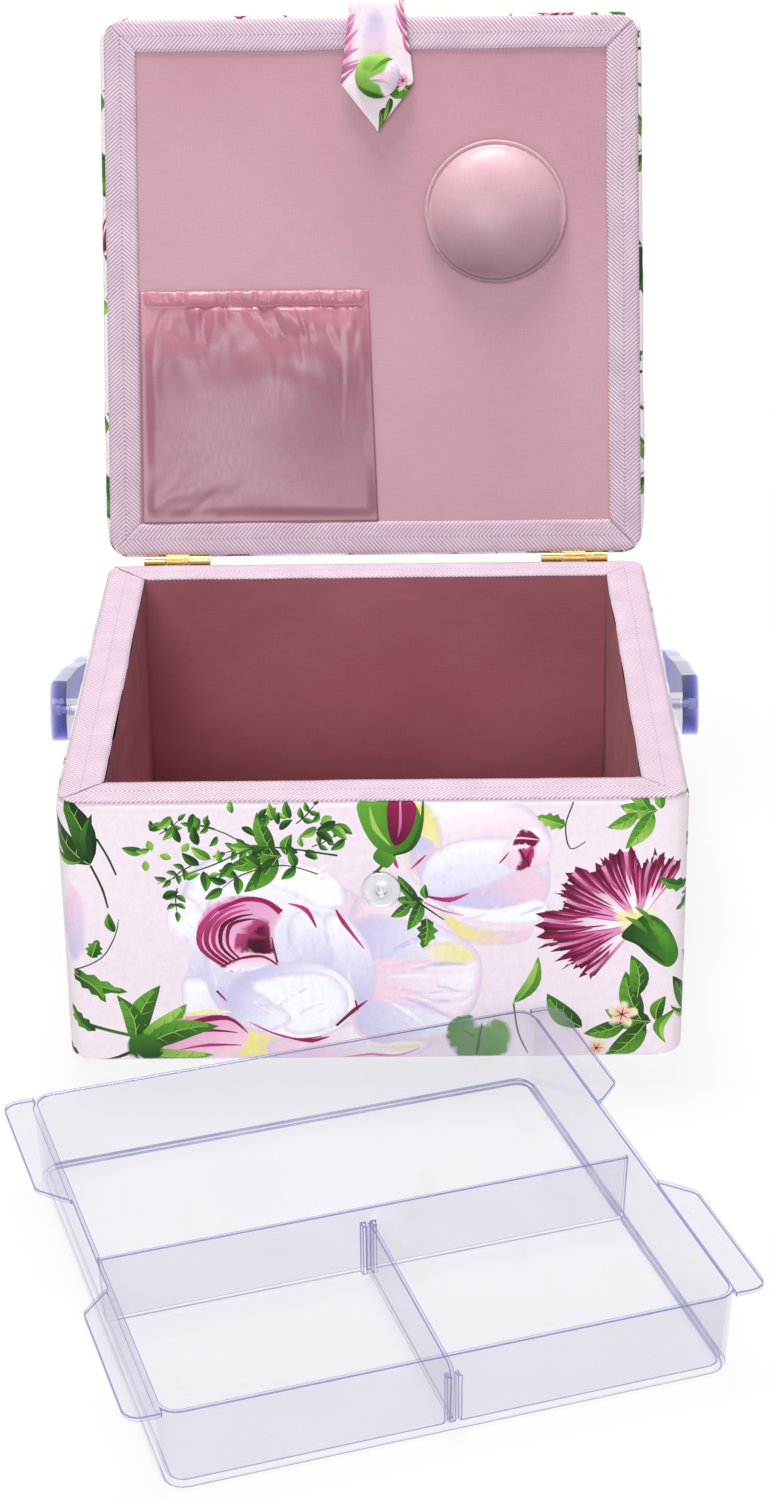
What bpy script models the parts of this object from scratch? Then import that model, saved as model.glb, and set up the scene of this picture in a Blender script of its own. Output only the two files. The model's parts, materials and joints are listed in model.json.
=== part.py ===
"""Fabric-covered sewing box: hinged lid with a pocket, a pincushion and a snap tab,
a clear handle that swings over it, and a loose clear tray with a removable divider.

Units are metres, +Z is up, +Y points to the back of the box. The origin is the centre
of the box's underside. The lid stands open and the tray stands in front of the box.
"""
import bpy
import bmesh
from math import radians, cos, sin, tan, pi
from mathutils import Vector

MM = 0.001
GAP = 0.3 * MM

# Box
BOX_HALF = 125.0 * MM
BOX_CORNER = 9.2 * MM
RIM_Z = 120.0 * MM
TAPE_THICK = 1.0 * MM
COVER_THICK = 2.2 * MM
COVER_FOOT_INSET = 1.2 * MM
COVER_FOOT_HEIGHT = 3.0 * MM
BOARD_THICK = 12.0 * MM
LINING_THICK = 3.0 * MM
UNDERSIDE_THICK = 1.2 * MM
BASE_THICK = 6.0 * MM
FLOOR_LINING_THICK = 2.0 * MM

BOARD_HALF = BOX_HALF - COVER_THICK - GAP
BOARD_CORNER = BOX_CORNER - COVER_THICK - GAP
CAVITY_HALF = BOARD_HALF - BOARD_THICK - GAP
OPENING_HALF = CAVITY_HALF - LINING_THICK
WALL_TOP = RIM_Z - TAPE_THICK - GAP
BASE_Z = UNDERSIDE_THICK + GAP
WALL_Z = BASE_Z + BASE_THICK + GAP
UNDERSIDE_HALF = BOX_HALF - 3.5 * MM
TAPE_INSET = 0.6 * MM
RIM_TAPE_HALF = BOX_HALF - TAPE_INSET
TAPE_INNER_CORNER = 1.5 * MM
RIM_TAPE_INNER = OPENING_HALF - GAP

# Lid, in its own frame: origin on the hinge axis, lid closed, front of the box at -Y
HINGE_Y = BOX_HALF + 2.2 * MM
HINGE_Z = RIM_Z + 0.6 * MM
LID_OPEN = radians(113)
LID_CENTRE_Y = -HINGE_Y
LID_TAPE_Z = 0.6 * MM
LID_FACE_Z = 1.9 * MM
LID_BOARD_THICK = 10.0 * MM
LID_TOP_Z = 16.5 * MM
LID_PADDING_Z = 12.2 * MM
LID_EDGE_RADIUS = 4.0 * MM
LID_TAPE_INNER = 109.2 * MM
LID_LINING_HALF = 111.0 * MM
LID_LINING_CORNER = 2.0 * MM
LID_LINING_THICK = 1.8 * MM

# Pocket and pincushion, in the lid's frame
POCKET_LEFT = -105.6 * MM
POCKET_RIGHT = -2.2 * MM
POCKET_BOTTOM_Y = -21.6 * MM
POCKET_MOUTH_Y = -125.5 * MM
POCKET_FRONT_Z = -6.8 * MM
POCKET_WALL = 1.0 * MM
ELASTIC_WIDTH = 5.6 * MM
ELASTIC_THICK = 0.7 * MM
PINCUSHION_CENTRE = (57.5 * MM, -161.0 * MM, 0)
PINCUSHION_RADIUS = 33.2 * MM
PINCUSHION_HEIGHT = 14.5 * MM
PINCUSHION_ROLL = 2.5 * MM
PINCUSHION_BASE_THICK = 1.0 * MM

# Butt hinges
HINGE_X = 93.0 * MM
HINGE_HALF = 15.5 * MM
KNUCKLE_RADIUS = 2.3 * MM
KNUCKLE_HALF = 5.2 * MM
HINGE_PIN_RADIUS = 0.9 * MM
LEAF_THICK = 0.8 * MM
LEAF_DEPTH = 15.5 * MM
LEAF_SCREW_X = 9.0 * MM
LEAF_SCREW_Y = -9.5 * MM
LEAF_SCREW_LENGTH = 6.0 * MM
LEAF_SCREW_HEAD_RADIUS = 1.75 * MM
LEAF_SCREW_RADIUS = 1.0 * MM
LEAF_SCREW_POINT = 1.0 * MM

# Snap tab, in its own frame: origin on its fold line, tab hanging down -Z, face at -Y
TAB_X = 3.0 * MM
TAB_OUT = 259.35 * MM
TAB_DROP = 4.25 * MM
TAB_FOLD = radians(90)
TAB_BUTTON_Z = -36.05 * MM
TAB_BACK_Y = 2.15 * MM
TAB_THICK = 2.0 * MM
TAB_TOP_HALF = 12.8 * MM
TAB_SHOULDER_HALF = 17.4 * MM
TAB_HOLE_RADIUS = 1.8 * MM
TAB_TOP_Z = -2.85 * MM
TAB_SHOULDER_Z = -39.9 * MM
TAB_TIP_Z = -61.5 * MM
SNAP_Z = HINGE_Z - TAB_DROP + TAB_BUTTON_Z

# Handle, in its own frame: origin on the pivot axis, handle upright
PIVOT_Z = 102.5 * MM
HANDLE_REST = radians(108.5)
HANDLE_REACH = 152.5 * MM
HANDLE_THICK = 7.0 * MM
ARM_INNER_X = 132.5 * MM
ARM_SPLAY = 5.5 * MM
ARM_HALF_WIDTH = 13.0 * MM
GRIP_HALF_WIDTH = 10.5 * MM
SCREW_RADIUS = 1.5 * MM
SCREW_HEAD_RADIUS = 2.4 * MM
SCREW_HEAD_LENGTH = 3.6 * MM
NUT_RADIUS = 4.2 * MM
NUT_THICK = 3.0 * MM

# Tray, in its own frame: origin at the centre of its underside, dividers at -Y
TRAY_PLACE = Vector((-2.6, -267.6, 0.0)) * MM
TRAY_TURN = radians(18.1)
TRAY_HALF = 102.2 * MM
TRAY_DRAFT = 1.4 * MM
TRAY_HEIGHT = 33.2 * MM
TRAY_CORNER = 8.0 * MM
TRAY_WALL = 1.8 * MM
TRAY_FOOT = 1.2 * MM
EAR_REACH = 113.2 * MM
EAR_ROOT_Y = 28.5 * MM
EAR_START_Y = 39.0 * MM
EAR_END_Y = 101.0 * MM
LONG_DIVIDER_Y = -4.0 * MM
LONG_DIVIDER_TOP = 28.5 * MM
CROSS_DIVIDER_X = -0.8 * MM
CROSS_DIVIDER_TOP = 25.0 * MM
DIVIDER_THICK = 1.6 * MM


# ---------------------------------------------------------------- materials

def material(name, colour, roughness, metallic=0.0, alpha=1.0):
    """A plain Principled material, made once for each name."""
    if name in bpy.data.materials:
        return bpy.data.materials[name]
    made = bpy.data.materials.new(name)
    made.use_nodes = True
    shader = made.node_tree.nodes["Principled BSDF"]
    shader.inputs["Base Color"].default_value = (*colour, 1.0)
    shader.inputs["Roughness"].default_value = roughness
    shader.inputs["Metallic"].default_value = metallic
    shader.inputs["Alpha"].default_value = alpha
    return made


def floral_fabric():
    return material("floral_fabric", (0.78, 0.72, 0.80), 0.75)


def satin():
    return material("satin", (0.60, 0.35, 0.41), 0.45)


def tape():
    return material("tape", (0.74, 0.56, 0.70), 0.85)


def board():
    return material("board", (0.45, 0.33, 0.22), 0.85)


def brass():
    return material("brass", (0.75, 0.58, 0.28), 0.35, 1.0)


def chrome():
    return material("chrome", (0.80, 0.80, 0.82), 0.15, 1.0)


def clear_plastic():
    return material("clear_plastic", (0.82, 0.82, 0.92), 0.08, 0.0, 0.4)


def white_plastic():
    return material("white_plastic", (0.88, 0.88, 0.84), 0.35)


# ---------------------------------------------------------------- mesh tools

def add_object(name, bm, made_of, parent=None, location=(0, 0, 0), rotation=(0, 0, 0)):
    """Turn a bmesh into a named object with outward faces."""
    bmesh.ops.recalc_face_normals(bm, faces=bm.faces)
    mesh = bpy.data.meshes.new(name)
    bm.to_mesh(mesh)
    bm.free()
    mesh.materials.append(made_of)
    mesh.shade_smooth()
    mesh.set_sharp_from_angle(angle=radians(30))
    made = bpy.data.objects.new(name, mesh)
    bpy.context.scene.collection.objects.link(made)
    made.parent = parent
    made.location = location
    made.rotation_euler = rotation
    return made


def add_empty(name, location, rotation=(0, 0, 0), parent=None):
    made = bpy.data.objects.new(name, None)
    bpy.context.scene.collection.objects.link(made)
    made.parent = parent
    made.location = location
    made.rotation_euler = rotation
    return made


def as_cutter(made):
    made.hide_render = True
    made.display_type = "WIRE"
    return made


def boolean(target, tool, operation="DIFFERENCE"):
    modifier = target.modifiers.new(operation.lower() + "_" + tool.name, "BOOLEAN")
    modifier.operation = operation
    modifier.solver = "EXACT"
    modifier.object = as_cutter(tool)


def filleted(corners, radii, steps=4):
    """Outline through the corners, each rounded to its own radius."""
    outline = []
    count = len(corners)
    for index, (corner, radius) in enumerate(zip(corners, radii)):
        here = Vector(corner)
        if radius == 0:
            outline.append((here.x, here.y))
            continue
        before = (Vector(corners[index - 1]) - here).normalized()
        after = (Vector(corners[(index + 1) % count]) - here).normalized()
        half_angle = before.angle(after) / 2
        middle = here + (before + after).normalized() * (radius / sin(half_angle))
        start = here + before * (radius / tan(half_angle)) - middle
        turn = start.angle_signed(here + after * (radius / tan(half_angle)) - middle)
        for step in range(steps + 1):
            angle = -turn * step / steps
            x = start.x * cos(angle) - start.y * sin(angle)
            y = start.x * sin(angle) + start.y * cos(angle)
            outline.append((middle.x + x, middle.y + y))
    return outline


def rounded_square(half, radius, steps=5):
    """Square outline with the same number of points whatever its size."""
    corners = [(half, -half), (half, half), (-half, half), (-half, -half)]
    return filleted(corners, [radius] * 4, steps)


def lofted(rings, closed=False):
    """Skin through rings of equal length; the ends are capped or joined to each other."""
    bm = bmesh.new()
    loops = [[bm.verts.new(point) for point in ring] for ring in rings]
    pairs = list(zip(loops, loops[1:]))
    if closed:
        pairs.append((loops[-1], loops[0]))
    else:
        bm.faces.new(loops[0][::-1])
        bm.faces.new(loops[-1])
    for low, high in pairs:
        for index in range(len(low)):
            after = (index + 1) % len(low)
            bm.faces.new((low[index], low[after], high[after], high[index]))
    return bm


def level(outline, z, centre_y=0.0):
    return [(x, y + centre_y, z) for x, y in outline]


def prism(outline, z0, z1, centre_y=0.0):
    """Outline in the XY plane, extruded from z0 to z1."""
    return lofted([level(outline, z0, centre_y), level(outline, z1, centre_y)])


def block(low, high):
    outline = [(low[0], low[1]), (high[0], low[1]), (high[0], high[1]), (low[0], high[1])]
    return prism(outline, low[2], high[2])


def side_prism(outline, x0, x1):
    """Outline in the YZ plane, extruded from x0 to x1."""
    return lofted([[(x0, y, z) for y, z in outline], [(x1, y, z) for y, z in outline]])


def ring_prism(outer, inner, z0, z1, centre_y=0.0):
    """A flat ring between two outlines with the same number of points."""
    rings = [level(outer, z0, centre_y), level(outer, z1, centre_y),
             level(inner, z1, centre_y), level(inner, z0, centre_y)]
    return lofted(rings, closed=True)


def turned(profile, steps=24, closed=False):
    """Turn (radius, height) points about Z. A radius of 0 makes a pole."""
    bm = bmesh.new()
    loops = []
    for radius, height in profile:
        if radius == 0:
            loops.append([bm.verts.new((0, 0, height))])
            continue
        angles = [2 * pi * step / steps for step in range(steps)]
        loops.append([bm.verts.new((radius * cos(a), radius * sin(a), height)) for a in angles])
    pairs = list(zip(loops, loops[1:]))
    if closed:
        pairs.append((loops[-1], loops[0]))
    for low, high in pairs:
        for index in range(steps):
            after = (index + 1) % steps
            face = [low[index % len(low)], low[after % len(low)],
                    high[after % len(high)], high[index % len(high)]]
            bm.faces.new(list(dict.fromkeys(face)))
    return bm


def tube(outer, inner, length, steps=24):
    """Tube along Z from 0 to its length."""
    return turned([(outer, 0), (outer, length), (inner, length), (inner, 0)], steps, closed=True)


def cylinder(radius, length, steps=24):
    return turned([(0, 0), (radius, 0), (radius, length), (0, length)], steps)


ALONG_X = (0, radians(90), 0)
ALONG_MINUS_X = (0, radians(-90), 0)
TO_FRONT = (radians(90), 0, 0)


# ---------------------------------------------------------------- box

def long_board_outline():
    """Front board in plan: full width, with its two outside corners rounded."""
    corners = [(-BOARD_HALF, -BOARD_HALF), (BOARD_HALF, -BOARD_HALF),
               (BOARD_HALF, -BOARD_HALF + BOARD_THICK), (-BOARD_HALF, -BOARD_HALF + BOARD_THICK)]
    return filleted(corners, [BOARD_CORNER, BOARD_CORNER, 0, 0])


def make_box_boards():
    outline = rounded_square(BOARD_HALF, BOARD_CORNER)
    add_object("base_board", prism(outline, BASE_Z, BASE_Z + BASE_THICK), board())
    front = add_object("board_front", prism(long_board_outline(), WALL_Z, WALL_TOP), board())
    back = add_object("board_back", prism(long_board_outline(), WALL_Z, WALL_TOP), board(),
                      rotation=(0, 0, pi))
    reach = BOARD_HALF - BOARD_THICK - GAP
    sides = []
    for name, direction in (("board_left", -1), ("board_right", 1)):
        xs = sorted((direction * BOARD_HALF, direction * (BOARD_HALF - BOARD_THICK)))
        bm = block((xs[0], -reach, WALL_Z), (xs[1], reach, WALL_TOP))
        sides.append(add_object(name, bm, board()))
    return front, back, sides


def make_box_cover():
    """Padded fabric that goes round the four walls."""
    outer = rounded_square(BOX_HALF, BOX_CORNER)
    inner = rounded_square(BOX_HALF - COVER_THICK, BOX_CORNER - COVER_THICK)
    foot = rounded_square(BOX_HALF - COVER_FOOT_INSET, BOX_CORNER - COVER_FOOT_INSET)
    rings = [level(foot, BASE_Z), level(outer, BASE_Z + COVER_FOOT_HEIGHT), level(outer, WALL_TOP),
             level(inner, WALL_TOP), level(inner, BASE_Z)]
    return add_object("box_cover", lofted(rings, closed=True), floral_fabric())


def make_box_linings():
    depth = CAVITY_HALF
    low = WALL_Z + FLOOR_LINING_THICK + GAP
    add_object("lining_floor", block((-depth, -depth, WALL_Z), (depth, depth, low - GAP)), satin())
    for name, direction in (("lining_front", -1), ("lining_back", 1)):
        ys = sorted((direction * depth, direction * OPENING_HALF))
        add_object(name, block((-depth, ys[0], low), (depth, ys[1], WALL_TOP)), satin())
    reach = OPENING_HALF - GAP
    for name, direction in (("lining_left", -1), ("lining_right", 1)):
        xs = sorted((direction * depth, direction * OPENING_HALF))
        add_object(name, block((xs[0], -reach, low), (xs[1], reach, WALL_TOP)), satin())


def make_box_trim():
    outline = rounded_square(UNDERSIDE_HALF, BOX_CORNER)
    add_object("underside_panel", prism(outline, 0, UNDERSIDE_THICK), floral_fabric())
    outer = rounded_square(RIM_TAPE_HALF, BOX_CORNER - TAPE_INSET)
    inner = rounded_square(RIM_TAPE_INNER, TAPE_INNER_CORNER)
    add_object("rim_tape", ring_prism(outer, inner, RIM_Z - TAPE_THICK, RIM_Z), tape())


# ---------------------------------------------------------------- lid

def make_lid(axis):
    outline = rounded_square(BOARD_HALF, BOARD_CORNER)
    lid_board = add_object("lid_board", prism(outline, LID_FACE_Z, LID_FACE_Z + LID_BOARD_THICK,
                                              LID_CENTRE_Y), board(), axis)
    recess = rounded_square(LID_LINING_HALF + GAP, LID_LINING_CORNER)
    recess_top = LID_FACE_Z + LID_LINING_THICK + GAP
    boolean(lid_board, add_object("cut_lid_recess", prism(recess, 0, recess_top, LID_CENTRE_Y),
                                  board(), axis))
    lining = prism(rounded_square(LID_LINING_HALF, LID_LINING_CORNER), LID_FACE_Z,
                   LID_FACE_Z + LID_LINING_THICK, LID_CENTRE_Y)
    add_object("lid_lining", lining, satin(), axis)

    edge = LID_TOP_Z - LID_EDGE_RADIUS
    inner = rounded_square(BOX_HALF - COVER_THICK, BOX_CORNER - COVER_THICK)
    rings = [level(inner, LID_PADDING_Z, LID_CENTRE_Y), level(inner, LID_FACE_Z, LID_CENTRE_Y)]
    rings.append(level(rounded_square(BOX_HALF, BOX_CORNER), LID_FACE_Z, LID_CENTRE_Y))
    for angle in (0, 30, 60, 90):
        inset = LID_EDGE_RADIUS * (1 - cos(radians(angle)))
        z = edge + LID_EDGE_RADIUS * sin(radians(angle))
        rings.append(level(rounded_square(BOX_HALF - inset, BOX_CORNER - inset), z, LID_CENTRE_Y))
    lid_cover = add_object("lid_cover", lofted(rings), floral_fabric(), axis)

    outer = rounded_square(RIM_TAPE_HALF, BOX_CORNER - TAPE_INSET)
    inner = rounded_square(LID_TAPE_INNER, TAPE_INNER_CORNER)
    add_object("lid_tape", ring_prism(outer, inner, LID_TAPE_Z, LID_TAPE_Z + TAPE_THICK,
                                      LID_CENTRE_Y), tape(), axis)
    return lid_board, lid_cover


def make_pocket(axis):
    """Gathered pocket on the lid's lining: a pouch that is open at its top and its back."""
    seam = LID_FACE_Z - GAP
    outline = [(POCKET_LEFT, POCKET_MOUTH_Y), (POCKET_RIGHT, POCKET_MOUTH_Y),
               (POCKET_RIGHT, POCKET_BOTTOM_Y), (POCKET_LEFT, POCKET_BOTTOM_Y)]
    pocket = add_object("pocket", prism(outline, POCKET_FRONT_Z, seam), satin(), axis)
    left, right = POCKET_LEFT + POCKET_WALL, POCKET_RIGHT - POCKET_WALL
    inside = POCKET_FRONT_Z + POCKET_WALL
    past_the_seam = seam + 3 * MM
    hollow = block((left, POCKET_MOUTH_Y - POCKET_WALL, inside),
                   (right, POCKET_BOTTOM_Y - POCKET_WALL, past_the_seam))
    boolean(pocket, add_object("cut_pocket", hollow, satin(), axis))
    low_y = POCKET_MOUTH_Y + 2 * GAP
    strip = block((left + POCKET_WALL, low_y, inside + GAP),
                  (right - POCKET_WALL, low_y + ELASTIC_WIDTH, inside + GAP + ELASTIC_THICK))
    add_object("pocket_elastic", strip, white_plastic(), axis)


def make_pincushion(axis):
    """Domed cushion on a stiff disc that is fixed to the lid's lining."""
    seat = LID_FACE_Z - GAP
    low = seat - PINCUSHION_BASE_THICK
    disc_radius = PINCUSHION_RADIUS - 1.2 * MM
    disc = turned([(0, low), (disc_radius, low), (disc_radius, seat), (0, seat)], 40)
    add_object("pincushion_base", disc, board(), axis, PINCUSHION_CENTRE)
    base = low - GAP
    shoulder = base - PINCUSHION_ROLL
    profile = [(0, base), (PINCUSHION_RADIUS - 2 * MM, base), (PINCUSHION_RADIUS, shoulder)]
    dome = PINCUSHION_HEIGHT - PINCUSHION_ROLL
    for angle in (25, 45, 65, 80):
        a = radians(angle)
        profile.append((PINCUSHION_RADIUS * cos(a) ** 0.7, shoulder - dome * sin(a)))
    profile.append((0, shoulder - dome))
    add_object("pincushion", turned(profile, 40), satin(), axis, PINCUSHION_CENTRE)


# ---------------------------------------------------------------- hinges

def leaf_outline(knuckle_in_middle):
    """Leaf in plan, with its tongue or tongues under its own knuckles, axis at y = 0."""
    back, notch = -LEAF_DEPTH, -KNUCKLE_RADIUS - 0.6 * MM
    if knuckle_in_middle:
        return [(-HINGE_HALF, back), (HINGE_HALF, back), (HINGE_HALF, notch), (KNUCKLE_HALF, notch),
                (KNUCKLE_HALF, 0), (-KNUCKLE_HALF, 0), (-KNUCKLE_HALF, notch), (-HINGE_HALF, notch)]
    slot = KNUCKLE_HALF + GAP
    return [(-HINGE_HALF, back), (HINGE_HALF, back), (HINGE_HALF, 0), (slot, 0),
            (slot, notch), (-slot, notch), (-slot, 0), (-HINGE_HALF, 0)]


def make_leaf(name, axis, centre_x, upward, lid_side):
    """One hinge leaf, let into its board; upward is +1 in the lid and -1 in the box."""
    near, far = upward * LID_FACE_Z, upward * (LID_FACE_Z + LEAF_THICK)
    bm = prism(leaf_outline(lid_side), min(near, far), max(near, far))
    leaf = add_object(name, bm, brass(), axis, (centre_x, 0, 0))
    slot = KNUCKLE_HALF + GAP
    spans = [(-KNUCKLE_HALF, KNUCKLE_HALF)] if lid_side else [(-HINGE_HALF, -slot), (slot, HINGE_HALF)]
    for index, (x0, x1) in enumerate(spans):
        bm = tube(KNUCKLE_RADIUS, HINGE_PIN_RADIUS + GAP, x1 - x0, 20)
        knuckle = add_object(f"join_{name}_{index}", bm, brass(), axis, (centre_x + x0, 0, 0), ALONG_X)
        boolean(leaf, knuckle, "UNION")
    return leaf


def leaf_screw_profile(extra=0.0):
    """Countersunk screw, head at z = 0, point up +Z; extra widens it into its hole."""
    head, shank = LEAF_SCREW_HEAD_RADIUS + extra, LEAF_SCREW_RADIUS + extra
    return [(0, -extra), (head, -extra), (head, 0), (shank, LEAF_THICK),
            (shank, LEAF_SCREW_LENGTH - LEAF_SCREW_POINT), (0, LEAF_SCREW_LENGTH + extra)]


def make_hinge(side, direction, lid_axis, box_axis, box_parts, lid_parts):
    """Butt hinge with its pin, its screws, and the seats cut for it in box and lid."""
    centre_x = direction * HINGE_X
    ends = ((f"hinge_{side}_lower", box_axis, -1, False, box_parts),
            (f"hinge_{side}_upper", lid_axis, 1, True, lid_parts))
    for name, axis, upward, lid_side, neighbours in ends:
        leaf = make_leaf(name, axis, centre_x, upward, lid_side)
        room = HINGE_HALF + 0.4 * MM
        near, far = upward * (LID_FACE_Z - 0.25 * MM), upward * (LID_FACE_Z + LEAF_THICK + GAP)
        seat = block((centre_x - room, -LEAF_DEPTH - GAP, min(near, far)),
                     (centre_x + room, 4 * MM, max(near, far)))
        seat = add_object(f"cut_{name}", seat, board(), axis)
        for neighbour in neighbours:
            boolean(neighbour, seat)
        for index, offset in enumerate((-LEAF_SCREW_X, LEAF_SCREW_X)):
            place = (centre_x + offset, LEAF_SCREW_Y, upward * LID_FACE_Z)
            turn = (0, 0, 0) if upward > 0 else (pi, 0, 0)
            add_object(f"{name}_screw_{index + 1}", turned(leaf_screw_profile(), 12), brass(),
                       axis, place, turn)
            hole = add_object(f"cut_{name}_screw_{index + 1}",
                              turned(leaf_screw_profile(0.25 * MM), 12), brass(), axis, place, turn)
            boolean(leaf, hole)
            boolean(neighbours[0], hole)
    pin = cylinder(HINGE_PIN_RADIUS, 2 * HINGE_HALF, 16)
    add_object(f"hinge_{side}_pin", pin, brass(), box_axis, (centre_x - HINGE_HALF, 0, 0), ALONG_X)


# ---------------------------------------------------------------- tab and snap

def make_tab_root(lid_axis):
    """Strap end sewn to the lid's top, looping over the lid's front edge."""
    thick, bend = TAB_THICK, 11.0 * MM
    top = LID_TOP_Z + 0.4 * MM
    start, centre_y = -236 * MM, -TAB_OUT + 10.05 * MM
    outside, inside = [], []
    for angle in range(0, 91, 15):
        a = radians(angle)
        across, up = sin(a), cos(a)
        outside.append((centre_y - (bend + thick) * across, top - bend + (bend + thick) * up))
        inside.append((centre_y - bend * across, top - bend + bend * up))
    end_z = 0.4 * MM
    outline = [(start, top + thick)] + outside + [(outside[-1][0], end_z), (inside[-1][0], end_z)]
    outline += inside[::-1] + [(start, top)]
    strip = side_prism(outline, TAB_X - TAB_TOP_HALF, TAB_X + TAB_TOP_HALF)
    add_object("tab_root", strip, floral_fabric(), lid_axis)


def make_tab(axis):
    """Pointed tab with the covered button on its face and the snap on its back."""
    corners = [(-TAB_TOP_HALF, TAB_TOP_Z), (TAB_TOP_HALF, TAB_TOP_Z),
               (TAB_SHOULDER_HALF, TAB_SHOULDER_Z), (0, TAB_TIP_Z),
               (-TAB_SHOULDER_HALF, TAB_SHOULDER_Z)]
    outline = filleted(corners, [0, 0, 2 * MM, 1 * MM, 2 * MM])
    rings = [[(x, y, z) for x, z in outline] for y in (TAB_BACK_Y, TAB_BACK_Y - TAB_THICK)]
    tab = add_object("tab_strap", lofted(rings), floral_fabric(), axis)
    hole = add_object("cut_tab", cylinder(TAB_HOLE_RADIUS, 8 * MM, 16), chrome(), axis,
                      (0, TAB_BACK_Y + 2 * MM, TAB_BUTTON_Z), TO_FRONT)
    boolean(tab, hole)

    radius, rim, crown = 10.1 * MM, 2.2 * MM, 2.8 * MM
    profile = [(0, 0), (9.4 * MM, 0), (10.3 * MM, 1.0 * MM), (radius, rim)]
    for angle in (30, 50, 70):
        a = radians(angle)
        profile.append((radius * cos(a) ** 0.8, rim + crown * sin(a)))
    profile.append((0, rim + crown))
    add_object("tab_button", turned(profile, 28), floral_fabric(), axis,
               (0, TAB_BACK_Y - TAB_THICK - GAP, TAB_BUTTON_Z), TO_FRONT)

    disc, shank = 2.2 * MM, TAB_HOLE_RADIUS - GAP
    end = disc + TAB_THICK + GAP
    profile = [(0, 0), (7.2 * MM, 0), (7.5 * MM, 0.4 * MM), (7.5 * MM, disc), (shank, disc),
               (shank, end), (0, end)]
    add_object("snap_stud", turned(profile, 28), chrome(), axis,
               (0, TAB_BACK_Y + GAP + disc, TAB_BUTTON_Z), TO_FRONT)


def make_snap_socket(front_board, cover):
    """Magnetic snap half on the front wall, with its shank through the cover."""
    place_y = -BOX_HALF - GAP
    thick, shank = 1.7 * MM, 3.6 * MM
    profile = [(0, thick - 1.3 * MM), (2.5 * MM, thick - 1.3 * MM), (2.5 * MM, thick),
               (7.2 * MM, thick), (7.85 * MM, thick - 0.7 * MM), (7.85 * MM, 0), (1.8 * MM, 0),
               (1.8 * MM, -shank), (0, -shank)]
    add_object("snap_socket", turned(profile, 32), chrome(), None, (TAB_X, place_y, SNAP_Z), TO_FRONT)
    hole = add_object("cut_cover_snap", cylinder(2.2 * MM, 8 * MM, 20), chrome(), None,
                      (TAB_X, -BOX_HALF + 6 * MM, SNAP_Z), TO_FRONT)
    boolean(cover, hole)
    seat = add_object("cut_front_snap", cylinder(8.6 * MM, 4 * MM, 28), chrome(), None,
                      (TAB_X, -BOARD_HALF + 2.0 * MM, SNAP_Z), TO_FRONT)
    boolean(front_board, seat)
    add_object("snap_backplate", tube(8.2 * MM, 2.1 * MM, 1.0 * MM, 28), chrome(), None,
               (TAB_X, -BOARD_HALF + 1.4 * MM, SNAP_Z), TO_FRONT)


# ---------------------------------------------------------------- handle

def make_handle(axis):
    """U-shaped handle: two flat arms that splay a little, and a flat grip between them."""
    outer_corner, inner_corner, foot_corner = 16 * MM, 9 * MM, 9 * MM
    taper_start, taper_end = 60 * MM, 115 * MM
    foot, top = -ARM_HALF_WIDTH, HANDLE_REACH + HANDLE_THICK / 2
    splay = ARM_SPLAY / HANDLE_REACH

    def arm_x(z):
        return ARM_INNER_X + splay * z

    outer_top, inner_top = arm_x(top) + HANDLE_THICK, arm_x(top - HANDLE_THICK)
    outer_foot, inner_foot = arm_x(foot) + HANDLE_THICK, arm_x(foot)
    corners = [(outer_foot, foot), (outer_top, top), (-outer_top, top), (-outer_foot, foot),
               (-inner_foot, foot), (-inner_top, top - HANDLE_THICK),
               (inner_top, top - HANDLE_THICK), (inner_foot, foot)]
    outline = filleted(corners, [0, outer_corner, outer_corner, 0, 0, inner_corner,
                                 inner_corner, 0], 6)
    reach = ARM_HALF_WIDTH + 4 * MM
    rings = [[(x, y, z) for x, z in outline] for y in (reach, -reach)]
    bail = add_object("handle", lofted(rings), clear_plastic(), axis)

    over = 5 * MM
    sides = [(-ARM_HALF_WIDTH, foot), (ARM_HALF_WIDTH, foot), (ARM_HALF_WIDTH, taper_start),
             (GRIP_HALF_WIDTH, taper_end), (GRIP_HALF_WIDTH, top + over),
             (-GRIP_HALF_WIDTH, top + over), (-GRIP_HALF_WIDTH, taper_end),
             (-ARM_HALF_WIDTH, taper_start)]
    outline = filleted(sides, [foot_corner, foot_corner, 0, 0, 0, 0, 0, 0], 6)
    width = outer_top + over
    boolean(bail, add_object("shape_handle", side_prism(outline, -width, width), clear_plastic(),
                             axis), "INTERSECT")

    head_room = SCREW_HEAD_LENGTH + 0.2 * MM
    for side, direction in (("left", -1), ("right", 1)):
        turn = ALONG_X if direction > 0 else ALONG_MINUS_X
        outer_face = ARM_INNER_X + HANDLE_THICK
        counterbore = turned([(0, -12 * MM), (SCREW_RADIUS + GAP, -12 * MM),
                              (SCREW_RADIUS + GAP, -head_room), (SCREW_HEAD_RADIUS + GAP, -head_room),
                              (SCREW_HEAD_RADIUS + GAP, 3 * MM), (0, 3 * MM)], 20)
        boolean(bail, add_object(f"cut_handle_{side}", counterbore, clear_plastic(), axis,
                                 (direction * outer_face, 0, 0), turn))


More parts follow.
